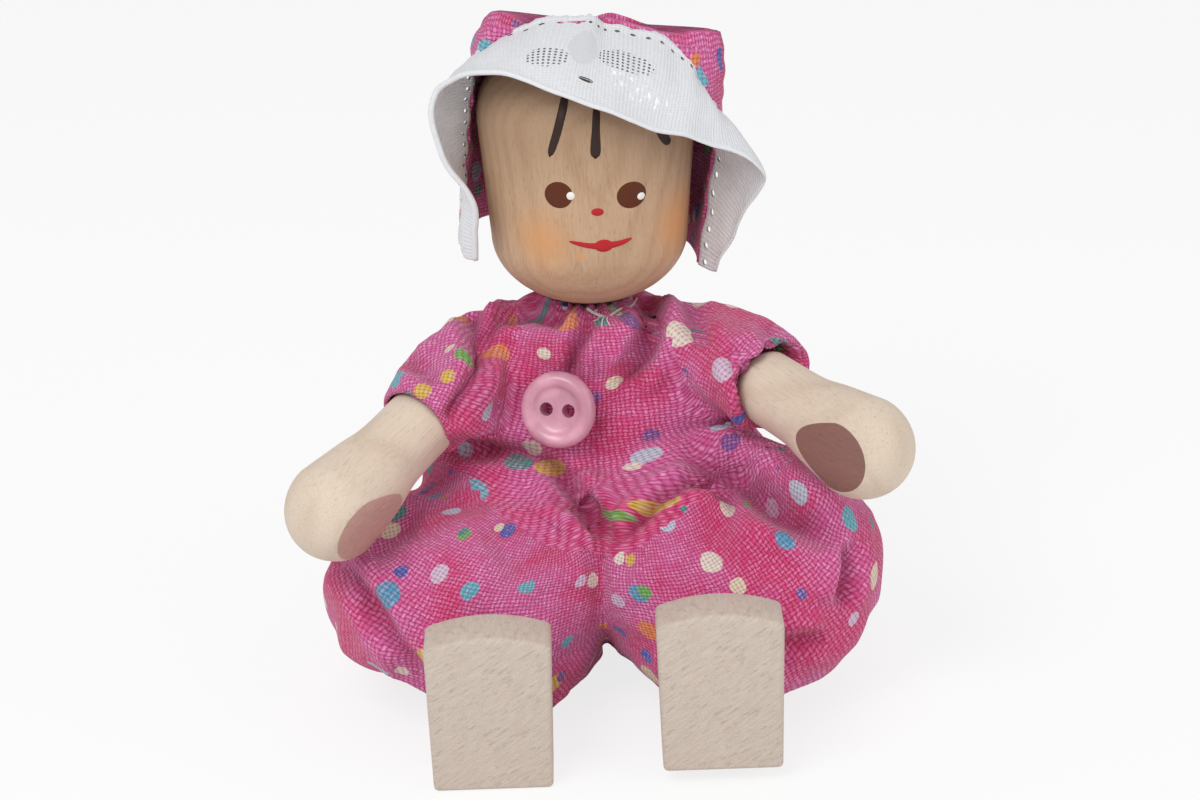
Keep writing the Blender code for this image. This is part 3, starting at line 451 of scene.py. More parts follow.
def lace_look(name):
    """White satin lace with fine ribs, a row of eyelets, two net patches, a slit, a fringed seam and painted
    highlights.
    """
    hat = bpy.context.scene.doll_hat
    look = Look(name, {"Specular IOR Level": 0.5, "Sheen Weight": 0.2, "Sheen Roughness": 0.3})
    flat = look.node("ShaderNodeUVMap", {"uv_map": "pattern"})
    run, reach, _ = look.parts(flat)
    fuzz = look.noise(look.coordinates(), 2.4, 4.0)

    def inside(oval):
        """1 inside an oval of the pattern and 0 outside."""
        a, b = (run - oval[0]) / oval[2], (reach - oval[1]) / oval[3]
        return 1.0 - (a * a + b * b + (fuzz - 0.5) * 0.9).rise(0.8, 1.05)

    def holes(first, second, pitch, size):
        """Round holes in rows."""
        a, b = [(way / pitch).math("FRACT") - 0.5 for way in (first, second)]
        return 1.0 - (a * a + b * b).rise(0.6 * size ** 2, size ** 2)

    ribs = (run * (2 * math.pi / 0.34)).math("SINE") * 0.5 + 0.5
    picks = (reach * (2 * math.pi / 0.30)).math("SINE") * 0.5 + 0.5
    silk = look.noise(look.vector("MULTIPLY", flat, (3.2, 0.35, 1.0)), 1.0, 3.0)
    shine = look.noise(look.vector("MULTIPLY", flat, (3.0, 0.9, 1.0)), 1.0, 2.0).rise(0.56, 0.66) * inside(GLINTS)
    white = tuple(hat.lace)
    grey = [0.70 * part for part in white]
    tint = look.mix((1.0 - ribs) * 0.16 + (1.0 - picks) * 0.12 + (fuzz - 0.35) * 0.5, white, grey)
    satin = inside(SATIN_OVAL)
    tint = look.mix(satin * 0.8, tint, [0.78 * part for part in white])
    # Painted highlights: bright white streaks on the satin.
    tint = look.mix(shine, tint, (0.97, 0.97, 0.98))
    eyelets = holes(run, reach - 0.05, 1.2, 0.20) * reach.rise(0.25, 0.30) * (1.0 - reach.rise(1.05, 1.10))
    gaps = eyelets.math("MAXIMUM", inside(SLIT))
    for patch in NET_PATCHES:
        gaps = gaps.math("MAXIMUM", inside(patch) * (1.0 - satin) * holes(run, reach, 0.42, 0.30))
    fringe = (reach + 0.52 + (run * (2 * math.pi / 0.95)).math("SINE") * 0.16 + (fuzz - 0.5) * 1.1).rise(-0.06, 0.06)
    relief = (ribs * 0.6 + picks * 0.35) * (1.0 - satin) + silk * 0.6 + fuzz * 0.8
    return look.finish(tint, 0.32 + silk * 0.35, relief, 0.06 * MM, fringe * (1.0 - gaps))


def thread_look(name, tint, pitch=0.35):
    """Twisted thread or round elastic, in slanting turns."""
    look = Look(name, {"Specular IOR Level": 0.3, "Sheen Weight": 0.3})
    spot = look.coordinates()
    split = look.node("ShaderNodeSeparateXYZ", {}, {0: spot})
    slant = split + Value(look, split.socket.node.outputs[1]) + Value(look, split.socket.node.outputs[2])
    turns = (slant * (2 * math.pi / pitch)).math("SINE") * 0.5 + 0.5
    fuzz = look.noise(spot, 3.0, 2.0)
    shade = look.mix((1.0 - turns) * 0.5 + fuzz * 0.2, tint, [0.6 * part for part in tint])
    return look.finish(shade, 0.7 + fuzz * 0.2, turns, 0.05 * MM)


def button_look(name):
    """Milky plastic with faint clouds and fine scratches."""
    button = bpy.context.scene.doll_button
    settings = {
        "Specular IOR Level": 0.5, "Coat Weight": 0.35, "Coat Roughness": 0.12,
        "Subsurface Weight": 0.35, "Subsurface Scale": 1.0 * MM, "Subsurface Radius": (1.0, 0.5, 0.6),
    }
    look = Look(name, settings)
    spot = look.coordinates()
    cloud = look.noise(spot, 0.35, 3.0)
    scratch = look.noise(look.vector("MULTIPLY", spot, (1.0, 1.0, 14.0)), 1.0, 2.0)
    milk = tuple(button.milk)
    tint = look.mix(cloud.rise(0.35, 0.7), milk, [min(1.0, 1.25 * part + 0.05) for part in milk])
    return look.finish(tint, 0.22 + scratch * 0.16, scratch, 0.008 * MM)


# Camera


PICTURE = (1200, 800)
SENSOR = 0.036


def camera_place():
    """Where the camera stands and how it is turned."""
    stage = bpy.context.scene.doll_stage
    back = Vector((0.0, -math.cos(stage.elevation), math.sin(stage.elevation)))
    target = Vector((stage.aside, 0.0, stage.aim))
    turn = (-back).to_track_quat("-Z", "Y").to_matrix().to_4x4() @ Matrix.Rotation(stage.roll, 4, "Z")
    return Matrix.Translation(target + back * stage.distance) @ turn


def in_picture(spots):
    """Where points show in the picture, in its pixels from the top left corner."""
    seen = np.array(camera_place().inverted())
    local = spots @ seen[:3, :3].T + seen[:3, 3]
    focal = bpy.context.scene.doll_stage.lens / 1000.0 / SENSOR * PICTURE[0]
    across, down = -focal * local[:, 0] / local[:, 2], focal * local[:, 1] / local[:, 2]
    return np.stack([PICTURE[0] / 2 + across, PICTURE[1] / 2 + down], 1)


# Shared ways of making pieces


def piece(name, bm, *looks, crisp=None):
    """Turn a bmesh into a named object that sits at the origin."""
    mesh = bpy.data.meshes.new(name)
    bm.to_mesh(mesh)
    bm.free()
    mesh.shade_smooth()
    if crisp is not None:
        mesh.set_sharp_from_angle(angle=math.radians(crisp))
    for look in looks:
        mesh.materials.append(look)
    made = bpy.data.objects.new(name, mesh)
    bpy.context.scene.collection.objects.link(made)
    return made


def settle(item):
    """Make an object's modifiers part of its mesh."""
    bpy.context.view_layer.update()
    graph = bpy.context.evaluated_depsgraph_get()
    mesh = bpy.data.meshes.new_from_object(item.evaluated_get(graph), depsgraph=graph)
    item.modifiers.clear()
    item.data = mesh


def along(axis):
    """Turn that takes Z to an axis."""
    return Vector(axis).to_track_quat("Z", "Y").to_matrix().to_4x4()


def spun(profile, place=None, steps=96, closed=False):
    """Turned body from a profile of radius and height."""
    bm = bmesh.new()
    spots = [bm.verts.new((radius, 0.0, height)) for radius, height in profile]
    pairs = list(zip(spots, spots[1:])) + ([(spots[-1], spots[0])] if closed else [])
    lines = [bm.edges.new(pair) for pair in pairs]
    bmesh.ops.spin(
        bm, geom=spots + lines, cent=(0.0, 0.0, 0.0), axis=(0.0, 0.0, 1.0),
        angle=2 * math.pi, steps=steps, use_merge=True,
    )
    bmesh.ops.remove_doubles(bm, verts=bm.verts, dist=0.001 * MM)
    bmesh.ops.recalc_face_normals(bm, faces=bm.faces)
    bmesh.ops.transform(bm, matrix=place or Matrix.Identity(4), verts=bm.verts)
    return bm


def smooth_path(points, steps):
    """Smooth line through points."""
    spots = [Vector(point) for point in points]
    ends = [2 * spots[0] - spots[1]] + spots + [2 * spots[-1] - spots[-2]]
    line = []
    for a, b, c, d in zip(ends, ends[1:], ends[2:], ends[3:]):
        for k in range(steps):
            t = k / steps
            line.append(0.5 * (2 * b + (c - a) * t + (2 * a - 5 * b + 4 * c - d) * t ** 2
                               + (3 * b - a - 3 * c + d) * t ** 3))
    return line + [spots[-1]]


def drill(item, radius, start, end):
    """Cut a round hole through a piece from one point to another."""
    bm = bmesh.new()
    middle, run = (start + end) / 2, end - start
    bmesh.ops.create_cone(bm, cap_ends=True, segments=32, radius1=radius, radius2=radius, depth=run.length)
    bmesh.ops.transform(bm, matrix=Matrix.Translation(middle) @ along(run), verts=bm.verts)
    bit = piece("bit", bm)
    hole = item.modifiers.new("hole", "BOOLEAN")
    hole.object, hole.operation, hole.solver = bit, "DIFFERENCE", "EXACT"
    settle(item)
    bpy.data.objects.remove(bit, do_unlink=True)


def dress(item, body, slot, *nodes):
    """Ride a piece on a body in place of CAD nodes; the slot is not used."""
    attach(item, body)
    if nodes:
        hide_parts(*nodes)
    return item


def finish_node(name, look):
    """Give a CAD node that is shown its finish."""
    mesh = frame["nodes"][name].data
    mesh.materials.clear()
    mesh.materials.append(look)


# Head and face


def head_outline():
    """Outline of the head from its string mouth round the chin to the knot well, low to high."""
    wood = bpy.context.scene.doll_wood
    radius, top = HEAD_HIGH.x, HEAD_HIGH.z
    first = math.asin(wood.mouth / wood.jaw_radius)
    foot = HEAD_LOW.z - wood.chin_height * (1 - math.cos(first))
    steps = 22
    outline = []
    for k in range(steps + 1):
        turn = first + (math.pi / 2 - first) * k / steps
        outline.append((wood.jaw_radius * math.sin(turn), foot + wood.chin_height * (1 - math.cos(turn))))
    outline.append(((wood.jaw_radius + radius) / 2, foot + (wood.chin_height + wood.widest) / 2))
    last = math.acos((wood.well / radius) ** wood.dome_fullness)
    dome = (top - foot - wood.widest) / math.sin(last) ** (1 / wood.dome_fullness)
    for k in range(steps + 1):
        turn = last * k / steps
        side = radius * math.cos(turn) ** (1 / wood.dome_fullness)
        outline.append((side, foot + wood.widest + dome * math.sin(turn) ** (1 / wood.dome_fullness)))
    return outline


def on_head(x, z, lift=0.0):
    """Point on the face of the head, raised by a lift."""
    outline = head_outline()
    radius = np.interp(z, [height for _, height in outline], [side for side, _ in outline]) + lift
    return Vector((x, -math.sqrt(max(0.0, radius ** 2 - x ** 2)), z))


def paint_drop(bm, x, z, wide, high, thick, lean=0.0):
    """Flat drop of paint on the face."""
    made = bmesh.ops.create_uvsphere(bm, u_segments=32, v_segments=16, radius=1.0)
    for vert in made["verts"]:
        u, v, w = vert.co
        aside, up = u * wide, v * high
        spot_x = x + aside * math.cos(lean) - up * math.sin(lean)
        spot_z = z + aside * math.sin(lean) + up * math.cos(lean)
        vert.co = on_head(spot_x, spot_z, thick * w)


def paint_stroke(bm, points, widths, thick):
    """Brush stroke on the face through points, with a half width at each."""
    line = smooth_path([(x, z, 0.0) for x, z in points], 8)
    count = len(line)
    brush = bmesh.new()
    bmesh.ops.create_grid(brush, x_segments=count - 1, y_segments=8, size=1.0)
    for vert in brush.verts:
        k = round((vert.co.x + 1) / 2 * (count - 1))
        run = line[min(k + 1, count - 1)] - line[max(k - 1, 0)]
        side = Vector((-run.y, run.x, 0.0)).normalized()
        s = k / (count - 1)
        round_end = max(0.15, (1 - abs(2 * s - 1) ** 6) ** 0.5)
        half = np.interp(s, np.linspace(0.0, 1.0, len(widths)), widths) * round_end
        spot = line[k] + side * (half * vert.co.y)
        vert.co = on_head(spot.x, spot.y, thick * (1.2 * (1 - vert.co.y ** 4) * round_end - 0.2))
    bmesh.ops.solidify(brush, geom=brush.faces[:], thickness=thick)
    join(bm, brush)


def join(bm, other):
    """Add one bmesh to another."""
    mesh = bpy.data.meshes.new("joined")
    other.to_mesh(mesh)
    other.free()
    bm.from_mesh(mesh)
    bpy.data.meshes.remove(mesh)


class DOLL_OT_head(bpy.types.Operator):
    """Turn the head, drilled for its string, with warm cheeks"""

    bl_idname = "doll.head"
    bl_label = "Turned head"

    def execute(self, context):
        wood = context.scene.doll_wood
        outline = head_outline()
        knot = JOINTS["head_nod"]["pos_m"][2]
        seat = knot - math.sqrt(wood.well ** 2 - wood.throat ** 2)
        profile = outline + [(wood.well, knot), (wood.throat, seat)]
        blushes = (
            (on_head(-4.3 * MM, 41.5 * MM), 4.6 * MM, 0.72),
            (on_head(8.0 * MM, 41.8 * MM), 5.2 * MM, 0.90),
            (on_head(-0.8 * MM, 40.4 * MM), 0.7 * MM, 0.9),
        )
        # The head's top is darkened with painted shade of the brim.
        look = wood_look("head_wood", tuple(wood.pale), tuple(wood.ring),
                         Matrix.Translation((0.0, 0.0, 44.0 * MM)), blushes=blushes, brim_shade=0.40)
        dress(piece("turned_head", spun(profile, closed=True), look, crisp=40), "head", "wood", "head")
        return {"FINISHED"}


class DOLL_OT_face(bpy.types.Operator):
    """Paint eyes, nose, mouth and forehead hair on the head"""

    bl_idname = "doll.face"
    bl_label = "Painted face"

    def execute(self, context):
        face = context.scene.doll_face
        thick = face.thickness
        lean = math.radians(-2.0)
        eyes = bmesh.new()
        paint_drop(eyes, -2.62 * MM, 46.24 * MM, face.eye_width, face.eye_height, thick)
        paint_drop(eyes, 3.82 * MM, 45.86 * MM, 1.06 * face.eye_width, face.eye_height, thick)
        sparks = bmesh.new()
        paint_drop(sparks, -1.58 * MM, 46.2 * MM, 0.38 * MM, 0.40 * MM, 2 * thick)
        paint_drop(sparks, 4.66 * MM, 45.6 * MM, 0.36 * MM, 0.37 * MM, 2 * thick)
        red = bmesh.new()
        paint_drop(red, 0.76 * MM, 44.6 * MM, 0.56 * MM, 0.37 * MM, 1.5 * thick, lean)
        smile = [(x * MM, z * MM) for x, z in ((-1.85, 41.85), (-0.14, 41.45), (1.2, 41.35), (2.6, 41.45), (3.75, 41.75))]
        paint_stroke(red, smile, [0.16 * MM, 0.22 * MM, 0.34 * MM, 0.24 * MM, 0.14 * MM], 1.2 * thick)
        paint_drop(red, 1.22 * MM, 41.32 * MM, 0.84 * MM, 0.60 * MM, 2.2 * thick, lean)
        hair = bmesh.new()
        strokes = (
            ([(-1.62, 55.4), (-2.4, 52.6), (-3.3, 49.9)], [0.42, 0.40, 0.34]),
            ([(1.02, 54.6), (0.86, 52.2), (0.74, 49.75)], [0.36, 0.38, 0.56]),
            ([(6.3, 51.9), (6.8, 50.8), (7.35, 49.8)], [0.36, 0.40, 0.34]),
        )
        for points, widths in strokes:
            paint_stroke(hair, [(x * MM, z * MM) for x, z in points], [w * MM for w in widths], thick)
        for name, bm, tint in (("eyes", eyes, face.eye), ("eye_sparks", sparks, face.spark),
                               ("nose_and_mouth", red, face.red), ("forehead_hair", hair, face.hair)):
            bmesh.ops.recalc_face_normals(bm, faces=bm.faces)
            dress(piece(name, bm, paint_look(name + "_paint", tuple(tint))), "head", "wood")
        return {"FINISHED"}


# Limbs


def arm_place(side):
    """Shoulder point and arm axis, from the arm's string."""
    shoulder = Vector(JOINTS["arm_%s_swing" % side]["pos_m"])
    low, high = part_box("arm_string_" + side)
    return shoulder, ((low + high) / 2 - shoulder).normalized()


ARMS = {side: arm_place(side) for side in SIDES}


PALM_AIM = {"left": (-0.45, -0.87, -0.02), "right": (0.60, -0.62, -0.34)}


class DOLL_OT_arms(bpy.types.Operator):
    """Turn both arms with their bulb hands and saw their palms"""

    bl_idname = "doll.arms"
    bl_label = "Turned arms"

    def execute(self, context):
        wood = context.scene.doll_wood
        start, tip = wood.string_shown, wood.string_shown + wood.arm_length
        hand, bore = tip - wood.hand_from_tip, wood.string_shown + wood.bore
        edge = wood.arm_radius / 5
        wrist = start + (hand - start) / 2
        body = smooth_path([
            (wood.arm_radius, start + edge, 0.0), (wood.wrist_radius, wrist - edge, 0.0),
            ((wood.arm_radius + wood.hand_radius) / 2, wrist + 4 * edge, 0.0), (wood.hand_radius, hand, 0.0),
        ], 10)
        profile = [(0.0, bore), (wood.bore_radius, bore), (wood.bore_radius, start)]
        profile += [(wood.arm_radius - edge, start), (wood.arm_radius - 0.3 * edge, start + 0.3 * edge)]
        profile += [(spot.x, spot.y) for spot in body]
        steps = 18
        for k in range(1, steps + 1):
            turn = math.pi / 2 * k / steps
            profile.append((max(0.0, wood.hand_radius * math.cos(turn)), hand + wood.hand_from_tip * math.sin(turn)))
        profile[-1] = (0.0, tip)
        for side in SIDES:
            shoulder, axis = ARMS[side]
            place = Matrix.Translation(shoulder) @ along(axis)
            bm = spun(profile, place, steps=72)
            aim = Vector(PALM_AIM[side])
            aim = (aim - aim.dot(axis) * axis).normalized()
            spot = shoulder + axis * hand + aim * (wood.hand_radius - wood.palm_depth)
            aim = aim * math.cos(wood.palm_lean) + axis * math.sin(wood.palm_lean)
            geom = bm.verts[:] + bm.edges[:] + bm.faces[:]
            bmesh.ops.bisect_plane(bm, geom=geom, plane_co=spot, plane_no=aim, clear_outer=True)
            rim = [line for line in bm.edges if line.is_boundary]
            for flat in bmesh.ops.holes_fill(bm, edges=rim, sides=0)["faces"]:
                flat.material_index = 1
            bmesh.ops.recalc_face_normals(bm, faces=bm.faces)
            tint = tuple(getattr(wood, "palm_" + side))
            look = wood_look("arm_wood_" + side, tuple(wood.limb), tuple(wood.limb_ring), place, (0.6, 1.2), 1.3)
            sawn = wood_look("palm_wood_" + side, tint, [0.7 * part for part in tint], place, (0.6, 1.2), 1.3)
            dress(piece("turned_arm_" + side, bm, look, sawn, crisp=50), "arm_" + side, "wood", "arm_" + side)
        return {"FINISHED"}


def leg_place(side):
    """Stand of a leg: its own Z runs from the hip to the foot, its own Y points up."""
    hip = Vector(JOINTS["leg_%s_swing" % side]["pos_m"])
    mount = next(m for m in frame["record"]["mounts"] if m["name"] == "sole_" + side)
    out = Vector(mount["axis"]).normalized()
    aside = Vector((1.0, 0.0, 0.0))
    axes = Matrix((aside, out.cross(aside), out)).transposed()
    return Matrix.Translation(hip) @ axes.to_4x4(), (Vector(mount["pos_m"]) - hip).dot(out)


class DOLL_OT_legs(bpy.types.Operator):
    """Saw both feet and finish the legs and torso"""

    bl_idname = "doll.legs"
    bl_label = "Feet, legs and torso"

    def execute(self, context):
        wood = context.scene.doll_wood
        for side in SIDES:
            place, reach = leg_place(side)
            heel = -JOINTS["leg_%s_swing" % side]["pos_m"][2]
            toe = heel + wood.foot_length
            outline = [(-wood.heel_width / 2, heel), (wood.heel_width / 2, heel)]
            steps = 20
            for k in range(steps + 1):
                x = wood.toe_width / 2 - wood.toe_width * k / steps
                outline.append((x, toe - wood.toe_rise * (2 * x / wood.toe_width) ** 2))
            bm = bmesh.new()
            sole = bm.faces.new([bm.verts.new((x, y, reach)) for x, y in outline])
            grown = bmesh.ops.extrude_face_region(bm, geom=[sole], use_keep_orig=True)
            back = [part for part in grown["geom"] if isinstance(part, bmesh.types.BMVert)]
            bmesh.ops.translate(bm, vec=(0.0, 0.0, -wood.foot_thickness), verts=back)
            bmesh.ops.recalc_face_normals(bm, faces=bm.faces)
            sharp = [line for line in bm.edges if line.calc_face_angle() > math.radians(40.0)]
            bmesh.ops.bevel(bm, geom=sharp, offset=wood.foot_edge, affect="EDGES", segments=4, profile=0.5, material=-1)
            bmesh.ops.transform(bm, matrix=place, verts=bm.verts)
            bmesh.ops.recalc_face_normals(bm, faces=bm.faces)
            slant = place @ Matrix.Rotation(math.radians(34.0), 4, "Z")
            look = sawn_look("foot_wood_" + side, tuple(wood.block), tuple(wood.block_ring), slant)
            foot = piece("sawn_foot_" + side, bm, look, crisp=60)
            back_point = place @ Vector((0.0, 0.0, reach - wood.foot_thickness - MM))
            drill(foot, 2.7 * MM, back_point, place @ Vector((0.0, 0.0, reach - wood.foot_thickness + 3.0 * MM)))
            foot.data.shade_smooth()
            foot.data.set_sharp_from_angle(angle=math.radians(60.0))
            dress(foot, "leg_" + side, "wood", "foot_" + side)
            finish_node("leg_" + side, wood_look("leg_wood_" + side, tuple(wood.limb), tuple(wood.limb_ring), place, (2.0, 8.0)))
        middle = Matrix.Translation((0.0, 0.0, 16.0 * MM))
        finish_node("torso", wood_look("torso_wood", tuple(wood.limb), tuple(wood.limb_ring), middle, (2.0, 14.0)))
        return {"FINISHED"}


class DOLL_OT_strings(bpy.types.Operator):
    """Finish the elastic strings and the cuff threads"""

    bl_idname = "doll.strings"
    bl_label = "Strings and threads"

    def execute(self, context):
        elastic = thread_look("elastic", (0.70, 0.66, 0.58), 0.5)
        for name in ("neck_string", "shoulder_string", "hip_string", "arm_string_left", "arm_string_right"):
            finish_node(name, elastic)
        thread = thread_look("cuff_thread", tuple(context.scene.doll_hat.thread), 0.2)
        for side in SIDES:
            finish_node("cuff_thread_" + side, thread)
        return {"FINISHED"}


# Romper


SIM = 20.0
PANEL_GAP = 90.0
CHIN_ROOM = 0.55 * MM
NECK_HOLE = 3.9 * MM
BODY = ("torso", "arm_left", "arm_right", "leg_left", "leg_right", "foot_left", "foot_right")
# Planes that part the romper, as the direction in which a limb's share of the cloth grows
SLEEVE_PULL = Vector((0.90, -0.20, 0.39)).normalized()
SLEEVE_SPAN = (19.0 * MM, 22.9 * MM)
TROUSER_PULL = Vector((0.60, -0.40, -0.69)).normalized()
TROUSER_SPAN = (-3.0 * MM, 7.0 * MM)


# Bodice hoops: height, half width, front, back
BODICE_HOOPS = (
    (35.3, 7.2, 6.0, 6.0), (34.6, 9.8, 7.2, 7.2), (32.2, 11.4, 7.5, 8.0), (28.0, 12.8, 7.8, 8.2),
    (24.0, 14.8, 8.4, 8.4), (20.0, 16.8, 9.6, 8.8), (16.5, 17.6, 10.2, 9.0), (11.0, 15.0, 9.0, 9.0),
)
# Trouser hoops: forward of the hip, inner and outer side, underside, top
TROUSER_HOOPS = (
    (-9.4, 3.4, 16.4, 3.2, 10.0), (-8.2, 0.2, 20.5, 0.7, 13.4), (-4.0, 0.2, 23.2, 0.35, 15.6),
    (0.0, 0.2, 24.8, 0.35, 17.0), (6.0, 0.2, 25.9, 0.35, 19.4), (10.5, 0.5, 26.3, 0.35, 21.6),
    (13.5, 0.6, 26.3, 0.7, 22.2), (17.5, 0.6, 25.6, 1.9, 20.4), (21.3, 0.7, 23.4, 2.6, 17.5),
    (24.0, 1.7, 19.2, 2.2, 14.2), (25.8, 4.6, 15.4, 1.6, 10.8), (27.6, 5.6, 14.4, 1.4, 10.1),
)
# Half width and half depth of the body that the bodice's pattern is wrapped round, and height of its shoulders
BODICE_WRAP = (13.0, 9.0, 30.0)
# How much higher the front of a trouser leg is than its hoops say
TROUSER_RISE = {"left": 0.7, "right": -1.2}
# Folds: half width in the picture, depth in millimetres, side of the raised lip (below a line to the right
# is positive, 0 is both) and points in the picture
FOLDS = (
    (12, 1.5, 0, ((470, 296), (474, 322), (478, 343), (487, 357))),
    (8, 1.3, -1, ((490, 345), (476, 372), (462, 397), (447, 424))),
    (8, 1.2, -1, ((485, 352), (492, 330), (500, 320), (515, 314), (535, 312), (557, 318), (572, 306))),
    (8, 1.3, 0, ((592, 311), (584, 333), (575, 350), (568, 386))),
    (12, 1.5, 0, ((640, 294), (652, 315), (650, 335), (641, 358), (620, 390))),
    (11, 0.8, 0, ((685, 292), (694, 318), (703, 348))),
    (9, 1.2, 1, ((731, 345), (744, 380), (753, 405), (765, 431))),
    (10, 1.5, 0, ((444, 447), (492, 450), (534, 452), (552, 465), (566, 482), (590, 508), (615, 543))),
    (8, 0.9, 1, ((543, 491), (575, 512), (604, 537))),
    (8, 1.3, -1, ((615, 547), (632, 527), (646, 512), (661, 496), (689, 482), (712, 484), (728, 500), (738, 525))),
    (17, 2.0, 0, ((680, 452), (715, 468), (745, 485), (780, 508), (815, 528), (842, 541))),
    (9, 1.2, 0, ((850, 541), (851, 565), (848, 582), (841, 608))),
    (9, 0.9, 0, ((780, 645), (803, 641), (827, 638))),
    (10, 1.1, 0, ((337, 555), (368, 600), (395, 640), (425, 680))),
    (9, 0.6, 0, ((398, 350), (418, 366), (440, 384))),
    (9, 0.6, 0, ((762, 316), (772, 340), (780, 368))),
)


def hoop(bm, middle, right, up, square=2.0, other=None):
    """Loop of points round a middle, on two half axes, with the squareness of its two sides."""
    made = bmesh.ops.create_circle(bm, segments=36, radius=1.0)["verts"]
    for vert in made:
        power = 2 / (square if vert.co.x > 0 or not other else other)
        c, s = [math.copysign(abs(part) ** power, part) for part in vert.co.xy]
        vert.co = (middle + right * c + up * s) * (SIM * MM)
    return made


def shroud(bm, hoops):
    """Closed solid through a row of hoops."""
    for pair in zip(hoops, hoops[1:]):
        bmesh.ops.convex_hull(bm, input=[vert for ring in pair for vert in ring])


def romper_skin():
    """One even skin over the romper's main forms, enlarged for the simulation."""
    bm = bmesh.new()
    aside, ahead, up = Vector((1.0, 0.0, 0.0)), Vector((0.0, 1.0, 0.0)), Vector((0.0, 0.0, 1.0))
    hoops = []
    for height, half, front, back in BODICE_HOOPS:
        hoops.append(hoop(bm, Vector((0.0, (back - front) / 2, height)), aside * half, ahead * (front + back) / 2, 2.3))
    shroud(bm, hoops)
    for side, sign in SIDES.items():
        hoops = []
        for forward, inner, outer, low, high in TROUSER_HOOPS:
            high += TROUSER_RISE[side] if forward > 0 else 0.0
            middle = Vector((sign * (inner + outer) / 2, -forward, (low + high) / 2))
            hoops.append(hoop(bm, middle, aside * sign * (outer - inner) / 2, up * (high - low) / 2, 2.3, 3.0))
        shroud(bm, hoops)
        shoulder, axis = ARMS[side]
        shoulder = shoulder / MM
        across = axis.cross(up).normalized()
        over = across.cross(axis)
        hoops = [
            hoop(bm, Vector((sign * 5.0, -1.0, 28.6)), ahead * 5.6, up * 5.2),
            hoop(bm, Vector((sign * 11.2, -2.0, 29.6)), ahead * 5.8, up * 5.9),
            hoop(bm, shoulder + axis * 5.8 + up * 1.3, across * 5.5, over * 5.6),
            hoop(bm, shoulder + axis * 12.0 + up * 0.7, across * 4.4, over * 4.15),
        ]
        shroud(bm, hoops)
    bmesh.ops.recalc_face_normals(bm, faces=bm.faces)
    skin = piece("romper_skin", bm)
    remesh = skin.modifiers.new("even", "REMESH")
    remesh.mode = "VOXEL"
    remesh.voxel_size = bpy.context.scene.doll_cotton.grid * SIM
    settle(skin)
    return skin


def open_end(bm, centre, out, reach):
    """Cut the skin open at a plane, within a reach of a centre, and drop what caps the end."""
    near = [face for face in bm.faces if (face.calc_center_median() - centre).length < 1.5 * reach]
    geom = list({vert for face in near for vert in face.verts} | {line for face in near for line in face.edges}) + near
    bmesh.ops.bisect_plane(bm, geom=geom, plane_co=centre, plane_no=out, dist=1e-5)
    cap = []
    for face in bm.faces:
        away = face.calc_center_median() - centre
        flat = (away - away.dot(out) * out).length
        if 0 < away.dot(out) < reach / 3 and flat < reach and face.normal.dot(out) > 0:
            cap.append(face)
    bmesh.ops.delete(bm, geom=cap, context="FACES")


def tuck_neck(bm):
    """Press the cloth's top under the chin and open it round the neck."""
    wood = bpy.context.scene.doll_wood
    centre = HEAD_LOW.z + wood.chin_height
    for vert in bm.verts:
        spot = vert.co / SIM
        reach = math.hypot(spot.x, spot.y)
        if spot.z > 30.0 * MM and reach < 0.98 * wood.jaw_radius:
            chin = centre - wood.chin_height * math.sqrt(1 - (reach / wood.jaw_radius) ** 2)
            vert.co.z = min(spot.z, chin - CHIN_ROOM) * SIM
    gone = [face for face in bm.faces if face.calc_center_median().z > 30.0 * MM * SIM
            and face.calc_center_median().xy.length < NECK_HOLE * SIM]
    bmesh.ops.delete(bm, geom=gone, context="FACES")
    for vert in bm.verts:
        if vert.is_boundary and vert.co.z > 30.0 * MM * SIM:
            vert.co.xy *= NECK_HOLE * SIM / vert.co.xy.length


def even_edges(bm):
    """Take the steps out of the cloth's open edges."""
    for _ in range(25):
        spots = {}
        for vert in bm.verts:
            beside = [line.other_vert(vert).co for line in vert.link_edges if line.is_boundary]
            if len(beside) == 2:
                spots[vert] = 0.5 * vert.co + 0.25 * (beside[0] + beside[1])
        for vert, spot in spots.items():
            vert.co = spot


def romper_openings():
    """Middle, outward direction and reach of the hems and cuffs."""
    wood = bpy.context.scene.doll_wood
    ends = []
    for side in SIDES:
        shoulder, axis = ARMS[side]
        ends.append((shoulder + axis * (wood.string_shown + 2.3 * MM), axis, 5.8 * MM))
        low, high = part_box("cuff_thread_" + side)
        ends.append(((low + high) / 2, Vector((0.0, -1.0, 0.0)), 6.0 * MM))
    return ends


def beside_line(spots, points):
    """Distance of flat points from a line, its side (below a line to the right is positive) and share of its run."""
    near = np.full(len(spots), np.inf)
    side, run = np.zeros(len(spots)), np.zeros(len(spots))
    corners = np.array(points, float)
    steps = np.linalg.norm(np.diff(corners, axis=0), axis=1)
    done = 0.0
    for start, stop, step in zip(corners, corners[1:], steps):
        way = (stop - start) / step
        away = spots - start
        share = np.clip(away @ way, 0.0, step)
        gap = np.linalg.norm(away - share[:, None] * way, axis=1)
        closer = gap < near
        near[closer] = gap[closer]
        side[closer] = np.sign(way[0] * away[:, 1] - way[1] * away[:, 0])[closer]
        run[closer] = (done + share[closer]) / steps.sum()
        done += step
    return near, side, run


